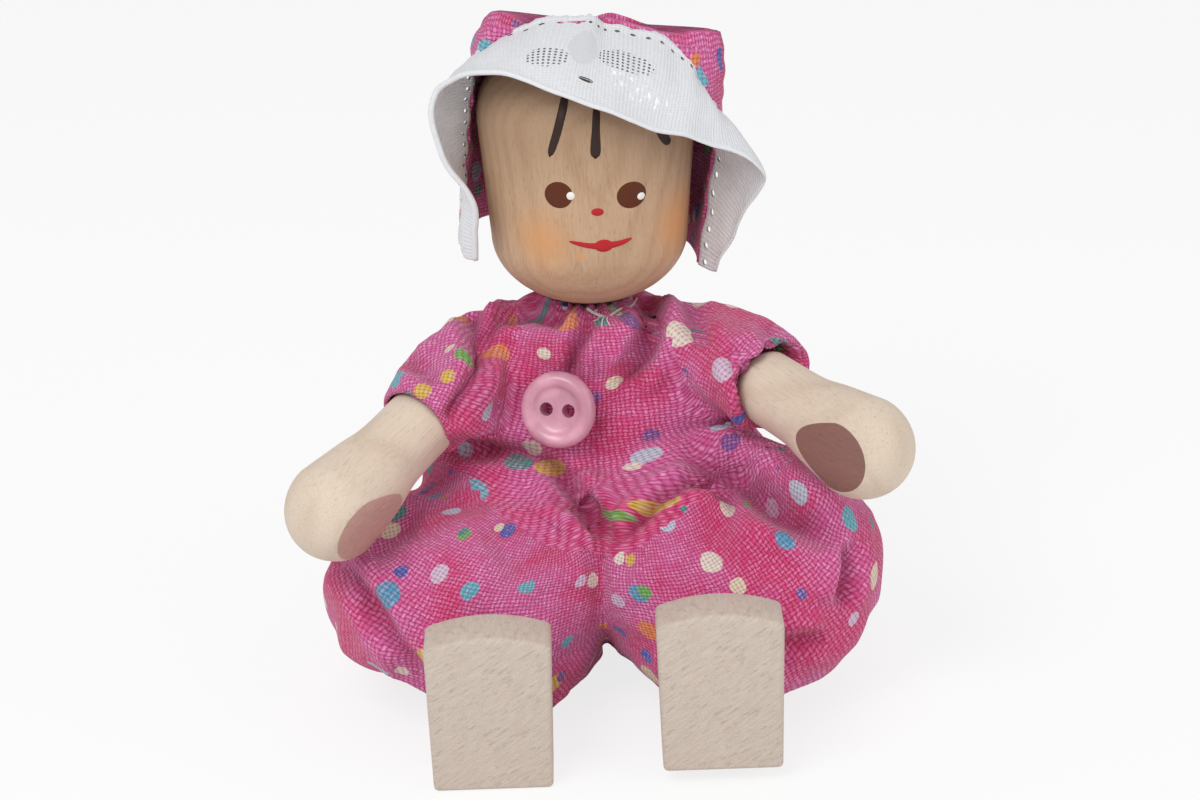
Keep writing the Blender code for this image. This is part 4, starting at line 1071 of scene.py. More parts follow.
def fold_cloth(mesh):
    """Press the folds into the cloth where the picture shows them, gather it round the neck, and keep painted shade for
    the folds' valleys.
    """
    count = len(mesh.vertices)
    spots, outs = np.empty(3 * count), np.empty(3 * count)
    mesh.vertices.foreach_get("co", spots)
    mesh.vertices.foreach_get("normal", outs)
    spots, outs = spots.reshape(-1, 3), outs.reshape(-1, 3)
    view = np.array(camera_place().to_translation()) - spots
    facing = (outs * view).sum(1) / np.linalg.norm(view, axis=1)
    shown = in_picture(spots)
    lift, dim = np.zeros(count), np.zeros(count)
    for wide, deep, lip, points in FOLDS:
        near, side, run = beside_line(shown, points)
        ends = np.clip(np.minimum(run, 1 - run) * 5, 0.0, 1.0) ** 0.7
        ridge = np.exp(-(near / wide - 1.8) ** 2) * np.where(side * lip < 0, 0.1, 0.55)
        valley = np.exp(-(near / wide) ** 2)
        lift += deep * ends * (ridge - valley)
        # Painted shade for the fold valleys, kept on the cloth as its painted fold shade.
        dim = np.maximum(dim, ends * np.exp(-(near / (0.8 * wide)) ** 2) * min(1.0, deep / 1.5))
    front = np.clip((facing - 0.05) / 0.3, 0.0, 1.0)
    lift, dim = lift * front, dim * front
    turn = np.arctan2(spots[:, 1], spots[:, 0])
    reach = np.hypot(spots[:, 0], spots[:, 1]) / MM
    near_neck = np.exp(-((reach - NECK_HOLE / MM) / 3.2) ** 2) * (spots[:, 2] > 29.0 * MM)
    lift += 0.26 * near_neck * np.sin(19 * turn + 1.5 * np.sin(3 * turn))
    spots += outs * (lift * MM)[:, None]
    press_button(spots)
    mesh.vertices.foreach_set("co", spots.ravel())
    mesh.attributes.new("fold", "FLOAT", "POINT").data.foreach_set("value", dim)
    mesh.update()


def button_place():
    """Stand of the button, from its CAD solid: its own Z points out of the cloth."""
    spots = np.array([vert.co for vert in frame["nodes"]["button"].data.vertices])
    _, _, turns = np.linalg.svd(spots - spots.mean(0), full_matrices=False)
    out = Vector(turns[2])
    out = out if out.y < 0 else -out
    level = Vector((0.0, 0.0, 1.0)).cross(out).normalized()
    low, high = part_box("button")
    foot = (low + high) / 2
    foot = foot + out * ((spots @ np.array(out)).min() - foot.dot(out))
    return Matrix.Translation(foot) @ Matrix((level, out.cross(level), out)).transposed().to_4x4()


def press_button(spots):
    """Press the cloth flat under the button."""
    place = np.array(button_place())
    away = (spots - place[:3, 3]) @ place[:3, :3]
    reach = np.hypot(away[:, 0], away[:, 1]) / bpy.context.scene.doll_button.radius
    share = np.clip((2.3 - reach) / 1.3, 0.0, 1.0)
    share = share * share * (3 - 2 * share)
    depth = np.clip(away[:, 2] + 0.10 * MM, 0.0, 6.0 * MM) * (spots[:, 1] < 0)
    spots -= (share * depth)[:, None] * place[:3, 2]


def simulate(skin):
    """Let the romper settle over the body, held at its neck, hems and cuffs."""
    scene = bpy.context.scene
    cotton = scene.doll_cotton
    shapes = []
    for node in BODY:
        bm = bmesh.new()
        bm.from_mesh(frame["nodes"][node].data)
        bmesh.ops.remove_doubles(bm, verts=bm.verts, dist=0.001 * MM)
        bmesh.ops.scale(bm, vec=(SIM, SIM, SIM), verts=bm.verts)
        shapes.append(piece("form_" + node, bm))
    bm = bmesh.new()
    bmesh.ops.create_grid(bm, x_segments=2, y_segments=2, size=0.1 * SIM)
    shapes.append(piece("form_floor", bm))
    for shape in shapes:
        shape.modifiers.new("touch", "COLLISION")
        shape.collision.thickness_outer = 0.006
        shape.collision.cloth_friction = 8.0
    cloth = skin.modifiers.new("cloth", "CLOTH")
    settings = cloth.settings
    settings.quality = 5
    settings.mass = 0.25
    settings.tension_stiffness = settings.compression_stiffness = 15.0
    settings.shear_stiffness = 6.0
    settings.bending_stiffness = cotton.bend
    settings.air_damping = 4.0
    settings.vertex_group_mass = "held"
    settings.shrink_min = -cotton.slack
    settings.effector_weights.gravity = cotton.sag
    settings.use_pressure = True
    settings.uniform_pressure_force = cotton.puff
    cloth.collision_settings.distance_min = 0.006
    cloth.collision_settings.use_self_collision = True
    cloth.collision_settings.self_distance_min = 0.008
    cloth.point_cache.frame_start, cloth.point_cache.frame_end = 1, 40
    for step in range(1, 19):
        scene.frame_set(step)
    settle(skin)
    scene.frame_set(1)
    for shape in shapes:
        bpy.data.objects.remove(shape, do_unlink=True)


def panel_of(spot):
    """Which panel of the sewing pattern a point of the romper belongs to."""
    side = "left" if spot.x > 0 else "right"
    mirrored = Vector((abs(spot.x), spot.y, spot.z))
    if mirrored.dot(SLEEVE_PULL) > SLEEVE_SPAN[0] + 1.6 * MM and spot.z > 22.0 * MM:
        return "sleeve_" + side
    if mirrored.dot(TROUSER_PULL) > TROUSER_SPAN[0]:
        return "trouser_" + side
    return "bodice"


def is_seam(line):
    """Whether an edge lies on a seam: between panels, behind the bodice, under a sleeve or under a leg."""
    spots = [face.calc_center_median() / SIM for face in line.link_faces]
    if len(spots) < 2:
        return False
    panels = [panel_of(spot) for spot in spots]
    if panels[0] != panels[1]:
        return True
    middle = (spots[0] + spots[1]) / 2
    if panels[0] == "bodice":
        return spots[0].x * spots[1].x < 0 and middle.y > 0
    side = panels[0].split("_")[1]
    if panels[0].startswith("trouser"):
        hip = JOINTS["leg_%s_swing" % side]["pos_m"]
        return (spots[0].x - hip[0]) * (spots[1].x - hip[0]) < 0 and middle.z < hip[2]
    shoulder, axis = ARMS[side]
    across = axis.cross(Vector((0.0, 0.0, 1.0)))
    return (spots[0] - shoulder).dot(across) * (spots[1] - shoulder).dot(across) < 0 and (
        (middle - shoulder) - axis * (middle - shoulder).dot(axis)).z < 0


def pattern_pieces(skin):
    """Lay the skin out flat in panels, in millimetres of cloth."""
    mesh = skin.data
    bm = bmesh.new()
    bm.from_mesh(mesh)
    for line in bm.edges:
        line.seam = is_seam(line)
    bm.to_mesh(mesh)
    bm.free()
    mesh.uv_layers.new(name="pattern")
    bpy.context.view_layer.objects.active = skin
    skin.select_set(True)
    bpy.ops.object.mode_set(mode="EDIT")
    bpy.ops.mesh.select_all(action="SELECT")
    bpy.ops.uv.unwrap(method="MINIMUM_STRETCH", iterations=16, margin=0.002)
    bpy.ops.object.mode_set(mode="OBJECT")
    skin.select_set(False)
    bm = bmesh.new()
    bm.from_mesh(mesh)
    layer = bm.loops.layers.uv["pattern"]
    left = set(bm.faces)
    number = 0
    while left:
        panel, todo = [], [left.pop()]
        while todo:
            face = todo.pop()
            panel.append(face)
            for loop in face.loops:
                beside = loop.link_loop_radial_next
                if beside.face in left and not loop.edge.seam:
                    left.discard(beside.face)
                    todo.append(beside.face)
        lay_panel(panel, layer, number)
        number += 1
    bm.to_mesh(mesh)
    bm.free()


def lay_panel(panel, layer, number):
    """Turn and scale a flat panel so that it matches the cloth as worn; the bodice is laid out round the body."""
    name = panel_of(panel[0].calc_center_median() / SIM)
    if name == "bodice":
        for face in panel:
            aside = math.copysign(1.0, face.calc_center_median().x)
            for loop in face.loops:
                x, y, z = loop.vert.co / SIM / MM
                turn = math.atan2(x / BODICE_WRAP[0], -y / BODICE_WRAP[1])
                turn += 2 * math.pi * aside if turn * aside < -math.pi / 2 else 0.0
                slope = BODICE_WRAP[1] - math.hypot(x * BODICE_WRAP[1] / BODICE_WRAP[0], y)
                slope *= min(1.0, max(0.0, z / 2.0 - BODICE_WRAP[2] / 2.0)) if slope > 0 else 1.0
                loop[layer].uv = (turn * sum(BODICE_WRAP[:2]) / 2 + PANEL_GAP * number, z + slope)
        return
    loops = [loop for face in panel for loop in face.loops]
    flat = np.array([loop[layer].uv for loop in loops])
    inks_with_painted_glint = np.array([loop.vert.co for loop in loops]) / SIM / MM
    facing = np.array([loop.face.normal.y < 0 for loop in loops])
    facing = facing if facing.any() else ~facing
    plain = np.stack([inks_with_painted_glint[:, 0], inks_with_painted_glint[:, 2] + (inks_with_painted_glint[:, 1] if name.startswith("trouser") else 0.0)], 1)
    a, b = flat - flat[facing].mean(0), plain - plain[facing].mean(0)
    wide = sum(face.calc_area() for face in panel) / SIM ** 2 / MM ** 2
    tight = sum(abs(flat_area([loop[layer].uv for loop in face.loops])) for face in panel)
    c, d = a[facing], b[facing]
    turn = math.atan2((c[:, 0] * d[:, 1] - c[:, 1] * d[:, 0]).sum(), (c * d).sum())
    grow = math.sqrt(wide / max(tight, 1e-12))
    cos, sin = math.cos(turn) * grow, math.sin(turn) * grow
    for loop, (u, v) in zip(loops, a):
        loop[layer].uv = (cos * u - sin * v + PANEL_GAP * number, sin * u + cos * v)


def flat_area(corners):
    """Area of a flat polygon."""
    pairs = zip(corners, corners[1:] + corners[:1])
    return 0.5 * sum(p[0] * q[1] - p[1] * q[0] for p, q in pairs)


def smooth_cloth(mesh):
    """Take the small crumples out of the settled cloth."""
    bm = bmesh.new()
    bm.from_mesh(mesh)
    inner = [vert for vert in bm.verts if not vert.is_boundary]
    for _ in range(5):
        bmesh.ops.smooth_vert(bm, verts=inner, factor=0.5, use_axis_x=True, use_axis_y=True, use_axis_z=True)
    bm.to_mesh(mesh)
    bm.free()


def part_romper(skin, side, trouser, look):
    """One quarter of the romper, cut from the skin at the centre seam and the groin."""
    sign = SIDES[side]
    bm = bmesh.new()
    bm.from_mesh(skin.data)
    pull = Vector((sign * TROUSER_PULL.x, TROUSER_PULL.y, TROUSER_PULL.z))
    for spot, out in ((Vector(), Vector((sign, 0.0, 0.0))), (pull * TROUSER_SPAN[0], pull if trouser else -pull)):
        geom = bm.verts[:] + bm.edges[:] + bm.faces[:]
        bmesh.ops.bisect_plane(bm, geom=geom, plane_co=spot, plane_no=out, dist=1e-7, clear_inner=True)
    name = ("trouser_" if trouser else "bodice_and_sleeve_") + side
    made = piece("sewn_" + name, bm, look)
    wall = made.modifiers.new("cloth", "SOLIDIFY")
    wall.thickness = bpy.context.scene.doll_cotton.thickness
    wall.offset = -1.0
    return made



class DOLL_OT_romper(bpy.types.Operator):
    """Sew the romper, settle it on the body and part it at its seams"""

    bl_idname = "doll.romper"
    bl_label = "Cotton romper"

    def execute(self, context):
        skin = romper_skin()
        bm = bmesh.new()
        bm.from_mesh(skin.data)
        for _ in range(6):
            bmesh.ops.smooth_vert(bm, verts=bm.verts, factor=0.5, use_axis_x=True, use_axis_y=True, use_axis_z=True)
        for centre, out, reach in romper_openings():
            open_end(bm, centre * SIM, out, reach * SIM)
        tuck_neck(bm)
        even_edges(bm)
        bm.to_mesh(skin.data)
        held = [vert.index for vert in bm.verts if vert.is_boundary]
        bm.free()
        group = skin.vertex_groups.new(name="held")
        group.add(held, 1.0, "REPLACE")
        pattern_pieces(skin)
        simulate(skin)
        smooth_cloth(skin.data)
        skin.data.transform(Matrix.Scale(1 / SIM, 4))
        fine = skin.modifiers.new("soft", "SUBSURF")
        fine.levels = fine.render_levels = 1
        settle(skin)
        fold_cloth(skin.data)
        look = cotton_look("printed_cotton")
        for side, sign in SIDES.items():
            top = part_romper(skin, side, False, look)
            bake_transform(top)
            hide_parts("romper_bodice", "romper_seat", "sleeve_" + side)
            leg = part_romper(skin, side, True, look)
            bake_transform(leg)
            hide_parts("trouser_" + side)
        bpy.data.objects.remove(skin, do_unlink=True)
        return {"FINISHED"}


# Loose stitch at the neck and its frayed end, as points in the picture
STITCH = ((588, 309), (592, 313), (600, 316), (608, 315), (620, 311), (631, 307), (636, 299))
FRAYS = (((606, 315), (603, 320), (602, 327)), ((608, 315), (607, 321), (610, 326)), ((601, 316), (598, 320), (593, 322)))


def on_cloth(tree, across, down, lift):
    """Point over the cloth that shows at a place in the picture."""
    eye = camera_place()
    focal = bpy.context.scene.doll_stage.lens / 1000.0 / SENSOR * PICTURE[0]
    aim = Vector(((across - PICTURE[0] / 2) / focal, (PICTURE[1] / 2 - down) / focal, -1.0))
    start = eye.to_translation()
    spot, out, _, _ = tree.ray_cast(start, (eye @ aim - start).normalized())
    if spot is None:
        raise RuntimeError("The stitch misses the cloth")
    return spot + (out if out.y < 0 else -out) * lift


class DOLL_OT_collar(bpy.types.Operator):
    """Gather the neck with white thread, with a loose stitch at the front"""

    bl_idname = "doll.collar"
    bl_label = "Gathering thread"

    def execute(self, context):
        wood = context.scene.doll_wood
        radius, thick = NECK_HOLE - 0.3 * MM, 0.18 * MM
        chin = HEAD_LOW.z + wood.chin_height * (1 - math.sqrt(1 - (radius / wood.jaw_radius) ** 2))
        line = []
        for k in range(48):
            turn = 2 * math.pi * k / 48
            reach = radius + 0.10 * MM * math.sin(7 * turn)
            line.append((reach * math.cos(turn), reach * math.sin(turn), chin - 0.95 * MM))
        bm = strand(line + [line[0]], thick)
        cloth = bmesh.new()
        for side in SIDES:
            cloth.from_mesh(bpy.data.objects["sewn_bodice_and_sleeve_" + side].data)
        tree = BVHTree.FromBMesh(cloth)
        cloth.free()
        for points, width in ((STITCH, 0.15 * MM), *((fray, 0.07 * MM) for fray in FRAYS)):
            path = [on_cloth(tree, *point, 1.2 * width) for point in points]
            strand(smooth_path(path, 5), width, bm)
        look = thread_look("gathering_thread", tuple(context.scene.doll_hat.thread), 0.2)
        dress(piece("gathering_thread", bm, look), "torso", "thread", "collar_thread")
        return {"FINISHED"}


def strand(line, radius, bm=None):
    """Round thread along a line."""
    bm = bm or bmesh.new()
    spots = [Vector(point) for point in line]
    ring = None
    for k, spot in enumerate(spots):
        run = spots[min(k + 1, len(spots) - 1)] - spots[max(k - 1, 0)]
        if ring is None:
            ring = bmesh.ops.create_circle(bm, segments=8, radius=radius, cap_ends=True)["verts"]
            bmesh.ops.transform(bm, matrix=Matrix.Translation(spot) @ along(run), verts=ring)
            rim = list({line for vert in ring for line in vert.link_edges})
        else:
            grown = bmesh.ops.extrude_edge_only(bm, edges=rim)["geom"]
            ring = [part for part in grown if isinstance(part, bmesh.types.BMVert)]
            rim = [part for part in grown if isinstance(part, bmesh.types.BMEdge)]
            middle = sum((vert.co for vert in ring), Vector()) / len(ring)
            turn = (spots[k] - spots[k - 1]).rotation_difference(run)
            bmesh.ops.translate(bm, vec=spot - middle, verts=ring)
            bmesh.ops.rotate(bm, cent=spot, matrix=turn.to_matrix(), verts=ring)
    bmesh.ops.contextual_create(bm, geom=rim)
    bmesh.ops.recalc_face_normals(bm, faces=bm.faces)
    return bm


# Button


class DOLL_OT_button(bpy.types.Operator):
    """Turn the button with a raised rim, a dish and two thread holes"""

    bl_idname = "doll.button"
    bl_label = "Button"

    def execute(self, context):
        button = context.scene.doll_button
        place = button_place()
        out = place.to_3x3().col[2]
        form = ((0.0, 0.0), (0.4, 0.0), (0.74, 0.0), (0.94, 0.25), (1.0, 0.55), (0.95, 0.84), (0.82, 1.0),
                (0.68, 0.94), (0.55, 0.76), (0.35, 0.70), (0.0, 0.70))
        path = smooth_path([(radius * button.radius, height * button.thickness, 0.0) for radius, height in form], 5)
        profile = [(max(0.0, spot.x), spot.y) for spot in path]
        made = piece("turned_button", spun(profile, place, 72), button_look("milky_plastic"))
        for sign in (-1.0, 1.0):
            middle = place @ Vector((sign * button.apart / 2, 0.0, 0.0))
            drill(made, button.hole, middle - out * button.thickness, middle + out * 2 * button.thickness)
        made.data.shade_smooth()
        made.data.set_sharp_from_angle(angle=math.radians(50.0))
        dress(made, "torso", "plastic", "button")
        return {"FINISHED"}


# Hat


CROWN_FORM = (
    (0.0, 1.0, 11.2, 1.7), (0.6, 0.7, 9.2, 1.7), (1.2, 0.5, 6.4, 1.7), (3.0, 0.1, 3.3, 1.9), (5.6, 0.0, 0.9, 2.0),
    (9.0, 0.0, 0.0, 2.0), (17.0, 0.1, 0.1, 2.0), (21.5, 0.3, 0.3, 2.0),
)
# Ridge of the crown between its two ears: place across, height over the plain top
RIDGE = (
    (-11.5, -3.0), (-10.9, -1.0), (-10.2, 0.1), (-9.2, 0.45), (-8.2, 0.1), (-6.8, -0.7), (-5.4, -0.95), (-2.6, -0.7),
    (-1.2, 0.1), (-0.4, 0.6), (0.8, 0.75), (3.4, 0.3), (6.3, -0.1), (8.8, 0.25), (10.6, 0.3), (11.2, -0.2), (11.5, -1.2),
)
# Seam and free edge of the brim: across, forward, drop below the crown's plain top
BRIM_SEAM = (
    (-10.8, 1.7, 21.4), (-10.95, 1.7, 18.5), (-11.0, 1.7, 15.5), (-11.1, 1.7, 12.0), (-11.1, 1.7, 8.5),
    (-11.0, 1.8, 5.3), (-10.3, 2.3, 2.9), (-6.1, 1.8, 0.4), (-1.6, 1.7, -0.5), (0.6, 1.5, 0.1), (4.7, 1.7, 0.5),
    (7.9, 3.6, 2.0), (9.6, 4.9, 4.7), (10.95, 3.2, 7.0), (11.1, 1.7, 11.0), (11.0, 1.7, 16.5), (10.8, 1.7, 21.4),
)
BRIM_EDGE = (
    (-9.5, 5.6, 21.5), (-9.8, 6.2, 18.8), (-9.9, 6.8, 16.0), (-12.6, 7.0, 12.7), (-14.2, 6.8, 9.0),
    (-13.9, 6.5, 5.3), (-10.2, 9.3, 2.9), (-6.3, 11.3, 2.7), (-3.0, 12.3, 3.45), (0.5, 12.6, 4.3),
    (3.9, 12.2, 5.4), (7.7, 10.8, 6.6), (12.0, 9.0, 7.9), (15.4, 7.8, 10.5), (14.2, 6.6, 14.1),
    (13.1, 5.6, 17.6), (12.3, 4.4, 20.9),
)


def hat_middle():
    """Point that the hat is tilted about, halfway up the head."""
    return Vector((0.0, 0.0, (HEAD_HIGH.z + HEAD_FOOT) / 2))


def hat_place():
    """Tilt of the hat on the head."""
    tilt = Matrix.Rotation(bpy.context.scene.doll_hat.tilt, 4, "Y")
    return Matrix.Translation(hat_middle()) @ tilt @ Matrix.Translation(-hat_middle())


def crown_sizes(down):
    """Half width, half depth and squareness of the crown at a height below its top."""
    hat = bpy.context.scene.doll_hat
    table = np.array(CROWN_FORM)
    in_side, in_back, square = [np.interp(down / MM, table[:, 0], table[:, k]) for k in (1, 2, 3)]
    return hat.crown_radius - in_side * MM, hat.crown_radius - in_back * MM, square


def crown_point(turn, down):
    """Point on the outside of the crown; turn 0 is the doll's left."""
    hat = bpy.context.scene.doll_hat
    wide, deep, square = crown_sizes(down)
    c, s = math.cos(turn), math.sin(turn)
    x = math.copysign(wide * abs(c) ** (2 / square), c)
    y = math.copysign(deep * abs(s) ** (2 / square), s)
    felt = max(0.0, 1 - down / hat.ridge_depth)
    ears = np.interp(x / MM, [spot for spot, _ in RIDGE], [rise for _, rise in RIDGE]) * MM
    return Vector((x, y, hat_top() - down + felt * ears))


def hat_top():
    """Height of the crown's top before it is tilted."""
    return HEAD_HIGH.z + bpy.context.scene.doll_hat.crown_rise


def brim_lines():
    """Seam and free edge of the brim, before the hat is tilted."""
    lines = []
    for table in (BRIM_SEAM, BRIM_EDGE):
        lines.append(smooth_path([(x * MM, -y * MM, hat_top() - drop * MM) for x, y, drop in table], 18))
    return lines


def face_shift(spot):
    """How far the crown comes forward of its plain front edge, on the side where the brim hangs lower."""
    table = np.array([row for row in BRIM_SEAM if row[0] > 3.0])
    ahead = np.interp((hat_top() - spot.z) / MM, table[:, 2], table[:, 1]) * MM
    share = min(1.0, max(0.0, spot.x / MM / 3.0 - 1.0))
    return max(0.0, ahead - bpy.context.scene.doll_hat.face_cut) * share


def close_ears(bm, rim, layer):
    """Fill the crown's front above the brim's seam with puffed cloth."""
    seam = brim_lines()[0]
    aim = {}
    for vert in {vert for line in rim for vert in line.verts}:
        spot = min(seam, key=lambda point: (point - vert.co).length)
        aim[vert] = Vector((spot.x, spot.y - 0.1 * MM, spot.z - 0.2 * MM))
    rim = [line for line in rim if all((aim[vert] - vert.co).length > 0.5 * MM for vert in line.verts)]
    starts = {vert: vert for line in rim for vert in line.verts}
    root = {vert: vert.co.copy() for vert in starts}
    steps = 5
    for step in range(1, steps + 1):
        grown = bmesh.ops.extrude_edge_only(bm, edges=rim)["geom"]
        rim = [part for part in grown if isinstance(part, bmesh.types.BMEdge)]
        share = step / steps
        fresh = {}
        for vert in (part for part in grown if isinstance(part, bmesh.types.BMVert)):
            fresh[vert] = starts[min(starts, key=lambda old: (old.co - vert.co).length)]
        for vert, first in fresh.items():
            puff = 0.8 * min(1.0, (root[first] - aim[first]).length / (2.0 * MM)) * math.sin(math.pi * share) * MM
            vert.co = root[first].lerp(aim[first], share) + Vector((0.0, -puff, 0.0))
        starts = fresh
        for face in (part for part in grown if isinstance(part, bmesh.types.BMFace)):
            for loop in face.loops:
                loop[layer].uv = (loop.vert.co.x / MM + 3 * PANEL_GAP, loop.vert.co.z / MM)


class DOLL_OT_crown(bpy.types.Operator):
    """Sew the bag crown with a cross seam on top and an ear at each end of it"""

    bl_idname = "doll.crown"
    bl_label = "Hat crown"

    def execute(self, context):
        hat = context.scene.doll_hat
        sides, rows = 112, 46
        bm = bmesh.new()
        layer = bm.loops.layers.uv.new("pattern")
        ring = bmesh.ops.create_circle(bm, segments=sides, radius=1.0)["verts"]
        rim = list({line for vert in ring for line in vert.link_edges})
        flat = {}
        for row in range(rows + 1):
            down = CROWN_FORM[-1][0] * MM * (1 - row / rows) ** 1.25
            if row:
                grown = bmesh.ops.extrude_edge_only(bm, edges=rim)["geom"]
                ring = [part for part in grown if isinstance(part, bmesh.types.BMVert)]
                rim = [part for part in grown if isinstance(part, bmesh.types.BMEdge)]
            for vert in ring:
                turn = (math.atan2(vert.co.y, vert.co.x) + math.pi / 2) % (2 * math.pi) - math.pi / 2
                flat[vert] = (turn, down)
        for vert, (turn, down) in flat.items():
            vert.co = crown_point(turn, down)
        bmesh.ops.contextual_create(bm, geom=rim)
        bmesh.ops.recalc_face_normals(bm, faces=bm.faces)
        for face in bm.faces:
            for loop in face.loops:
                turn, down = flat[loop.vert]
                loop[layer].uv = (turn * hat.crown_radius / MM, -down / MM)
        for vert in bm.verts:
            vert.co.y += face_shift(vert.co)
        geom = bm.verts[:] + bm.edges[:] + bm.faces[:]
        cut = bmesh.ops.bisect_plane(
            bm, geom=geom, plane_co=(0.0, -hat.face_cut, 0.0), plane_no=(0.0, -1.0, 0.0), clear_outer=True
        )["geom_cut"]
        for vert in bm.verts:
            vert.co.y -= face_shift(vert.co)
        close_ears(bm, [part for part in cut if isinstance(part, bmesh.types.BMEdge)], layer)
        bmesh.ops.recalc_face_normals(bm, faces=bm.faces)
        bm.normal_update()
        for vert in bm.verts:
            front = max(0.0, 1 - abs(vert.co.y + hat.face_cut) / (4.0 * MM))
            gather = 0.10 * MM * front * math.sin(vert.co.z / (0.28 * MM) + vert.co.x / (0.28 * MM))
            rumple = 0.5 * MM * noise.noise(vert.co / (4.5 * MM)) + 0.25 * MM * noise.noise(vert.co / (2.0 * MM))
            vert.co += vert.normal * (gather + rumple * (1 - 0.7 * front))
        bmesh.ops.transform(bm, matrix=hat_place(), verts=bm.verts)
        made = piece("sewn_crown", bm, cotton_look("crown_cotton", 0.9))
        wall = made.modifiers.new("cloth", "SOLIDIFY")
        wall.thickness, wall.offset = hat.cloth, -1.0
        fine = made.modifiers.new("soft", "SUBSURF")
        fine.levels = fine.render_levels = 1
        dress(made, "hat", "cotton", "hat_crown")
        return {"FINISHED"}


class DOLL_OT_brim(bpy.types.Operator):
    """Gather the lace brim to the crown, with a fringed seam and a soft rolled edge"""

    bl_idname = "doll.brim"
    bl_label = "Lace brim"

    def execute(self, context):
        hat = context.scene.doll_hat
        seam, edge = brim_lines()
        columns, rows, lip = len(seam) - 1, 34, 3
        middle = hat_middle()
        bm = bmesh.new()
        layer = bm.loops.layers.uv.new("pattern")
        made = bmesh.ops.create_grid(bm, x_segments=columns, y_segments=rows + lip, size=1.0)
        runs = np.concatenate([[0.0], np.cumsum([(b - a).length for a, b in zip(edge, edge[1:])])])
        flat, hem = {}, [None] * (columns + 1)
        for vert in made["verts"]:
            k = round((vert.co.x + 1) / 2 * columns)
            row = round((vert.co.y + 1) / 2 * (rows + lip)) - lip
            t, back = max(0, row) / rows, max(0, -row) * 0.28 * MM
            start, stop = seam[k], edge[k]
            out = (start + stop) / 2 - middle
            out.y = 0.0
            ripple = 0.10 * (1 - t) * math.sin(runs[k] / (0.55 * MM))
            ripple += 0.45 * t * noise.noise(Vector((runs[k] / (3.4 * MM), 2.0 * t, 0.0)))
            bow = out.normalized() * (hat.bow * math.sin(math.pi * t) + ripple * MM + (0.22 * MM if row < 1 else 0.0))
            flat[vert] = (runs[k] / MM, (t * (stop - start).length - back) / MM)
            vert.co = start.lerp(stop, t) + bow + Vector((0.0, back, 0.0))
            if row == rows:
                hem[k] = vert.co.copy()
        for face in bm.faces:
            for loop in face.loops:
                loop[layer].uv = flat[loop.vert]
        bmesh.ops.recalc_face_normals(bm, faces=bm.faces)
        bmesh.ops.transform(bm, matrix=hat_place(), verts=bm.verts)
        made = piece("lace_brim", bm, lace_look("satin_lace"))
        wall = made.modifiers.new("lace", "SOLIDIFY")
        wall.thickness, wall.offset = hat.brim, 0.0
        dress(made, "hat", "lace", "hat_brim")
        roll = strand(hem[::2], hat.roll)
        roll.loops.layers.uv.new("pattern")
        bmesh.ops.transform(roll, matrix=hat_place(), verts=roll.verts)
        dress(piece("lace_roll", roll, lace_look("rolled_lace")), "hat", "lace")
        return {"FINISHED"}


# Stage


def lamp(name, power, spot, aim, size):
    """Soft square lamp."""
    data = bpy.data.lights.new(name, "AREA")
    data.energy, data.size = power, size
    item = bpy.data.objects.new(name, data)
    item.location = spot
    item.rotation_euler = (Vector(aim) - Vector(spot)).to_track_quat("-Z", "Y").to_euler()
    bpy.context.scene.collection.objects.link(item)
    return item


def seen_rays(look):
    """Outputs of the material's Light Path node."""
    return next(node for node in look.tree.nodes if node.type == "LIGHT_PATH").outputs


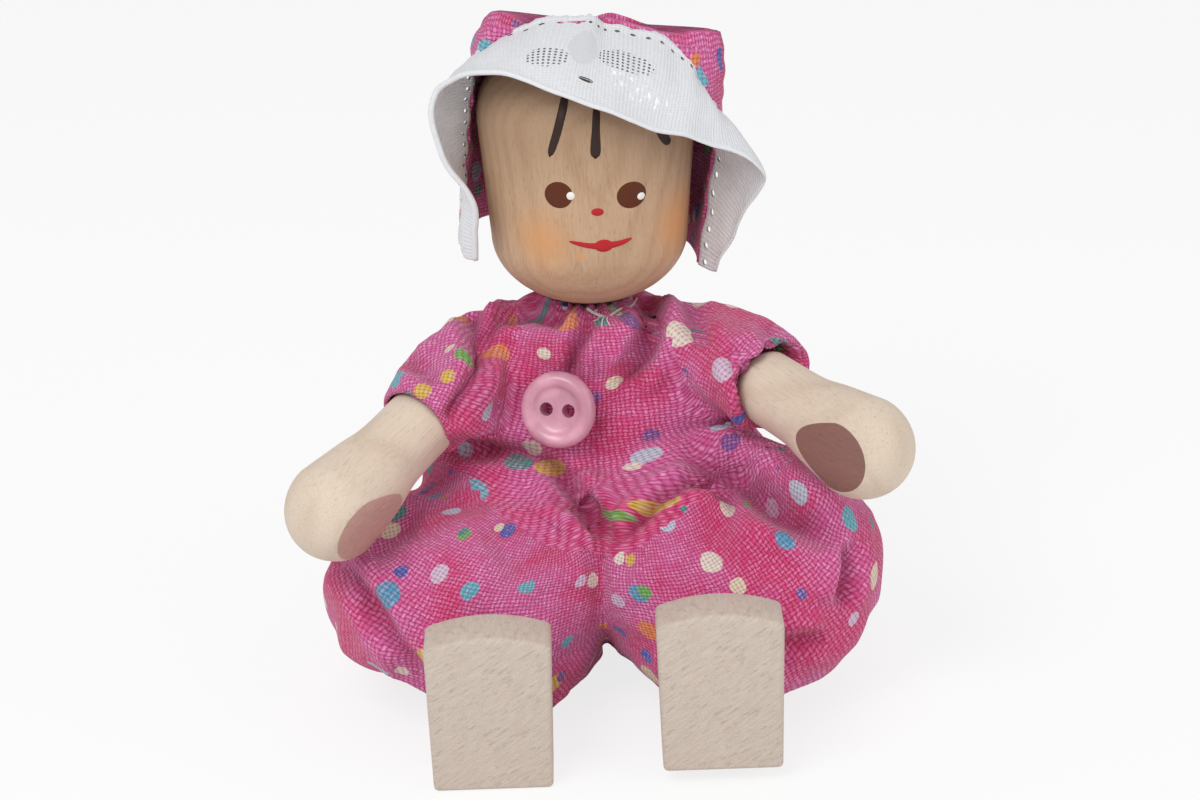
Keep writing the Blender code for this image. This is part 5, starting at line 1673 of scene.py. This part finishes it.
class DOLL_OT_stage(bpy.types.Operator):
    """Set the pale floor, the soft light and the camera"""

    bl_idname = "doll.stage"
    bl_label = "Stage"

    def execute(self, context):
        scene = context.scene
        stage = scene.doll_stage
        scene.view_settings.view_transform = "Standard"
        look = Look("paper", {"Roughness": 0.9, "Specular IOR Level": 0.1})
        spot = look.coordinates()
        fibres = look.noise(spot, 0.02, 2.0)
        paper = tuple(stage.paper)
        look.finish(look.mix(fibres * 0.06, paper, [0.96 * part for part in paper]))
        seen = look.node("ShaderNodeLightPath", output="Is Camera Ray")
        for ray in ("Is Glossy Ray", "Is Transmission Ray"):
            seen = seen.math("MAXIMUM", Value(look, seen_rays(look)[ray]))
        glow = look.node("ShaderNodeEmission", {}, {"Color": (1.0, 1.0, 1.0, 1.0), "Strength": 1.0})
        lit = Value(look, look.shader.outputs[0])
        shown = look.node("ShaderNodeMixShader", {}, {0: seen * stage.white, 1: lit, 2: glow})
        look.feed(look.tree.nodes["Material Output"].inputs["Surface"], shown)
        bm = bmesh.new()
        bmesh.ops.create_grid(bm, x_segments=1, y_segments=1, size=3.0)
        floor = piece("floor", bm, look.material)
        world = bpy.data.worlds.new("studio")
        scene.world = world
        world.use_nodes = True
        tree = world.node_tree
        sky = tree.nodes["Background"]
        sky.inputs["Color"].default_value = (1.0, 1.0, 1.0, 1.0)
        sky.inputs["Strength"].default_value = stage.sky
        white = tree.nodes.new("ShaderNodeBackground")
        path = tree.nodes.new("ShaderNodeLightPath")
        blend = tree.nodes.new("ShaderNodeMixShader")
        tree.links.new(path.outputs["Is Camera Ray"], blend.inputs[0])
        tree.links.new(sky.outputs[0], blend.inputs[1])
        tree.links.new(white.outputs[0], blend.inputs[2])
        tree.links.new(blend.outputs[0], tree.nodes["World Output"].inputs["Surface"])
        aim = (0.0, 0.0, 0.03)
        lamp("key", stage.key, (-0.16, -0.24, 0.34), aim, 0.22)
        lamp("fill", stage.fill, (0.30, -0.18, 0.16), aim, 0.25)
        data = bpy.data.cameras.new("camera")
        data.lens, data.sensor_width = stage.lens, SENSOR * 1000.0
        data.clip_start, data.clip_end = 0.01, 20.0
        camera = bpy.data.objects.new("camera", data)
        scene.collection.objects.link(camera)
        camera.matrix_world = camera_place()
        scene.camera = camera
        return {"FINISHED"}


# Add-on


GROUPS = {
    "doll_wood": DollWood, "doll_face": DollFace, "doll_cotton": DollCotton,
    "doll_hat": DollHat, "doll_button": DollButton, "doll_stage": DollStage,
}
OPERATORS = (
    DOLL_OT_head, DOLL_OT_face, DOLL_OT_arms, DOLL_OT_legs, DOLL_OT_strings, DOLL_OT_romper,
    DOLL_OT_collar, DOLL_OT_button, DOLL_OT_crown, DOLL_OT_brim, DOLL_OT_stage,
)


class DOLL_PT_build(bpy.types.Panel):
    """Lists the doll's pieces in the order in which they are made"""

    bl_idname = "DOLL_PT_build"
    bl_label = "Strung wooden doll"
    bl_space_type = "VIEW_3D"
    bl_region_type = "UI"
    bl_category = "Doll"

    def draw(self, context):
        for operator in OPERATORS:
            self.layout.operator(operator.bl_idname)


def register():
    """Register the classes and hang the sizes on the scene."""
    for group in (*GROUPS.values(), *OPERATORS, DOLL_PT_build):
        bpy.utils.register_class(group)
    for name, group in GROUPS.items():
        setattr(bpy.types.Scene, name, PointerProperty(type=group))


def unregister():
    """Take the sizes off the scene and unregister the classes."""
    for name in GROUPS:
        delattr(bpy.types.Scene, name)
    for group in reversed((*GROUPS.values(), *OPERATORS, DOLL_PT_build)):
        bpy.utils.unregister_class(group)


def main():
    """Make every piece in order."""
    register()
    for operator in OPERATORS:
        family, name = operator.bl_idname.split(".")
        getattr(getattr(bpy.ops, family), name)()


if __name__ == "__main__":
    main()
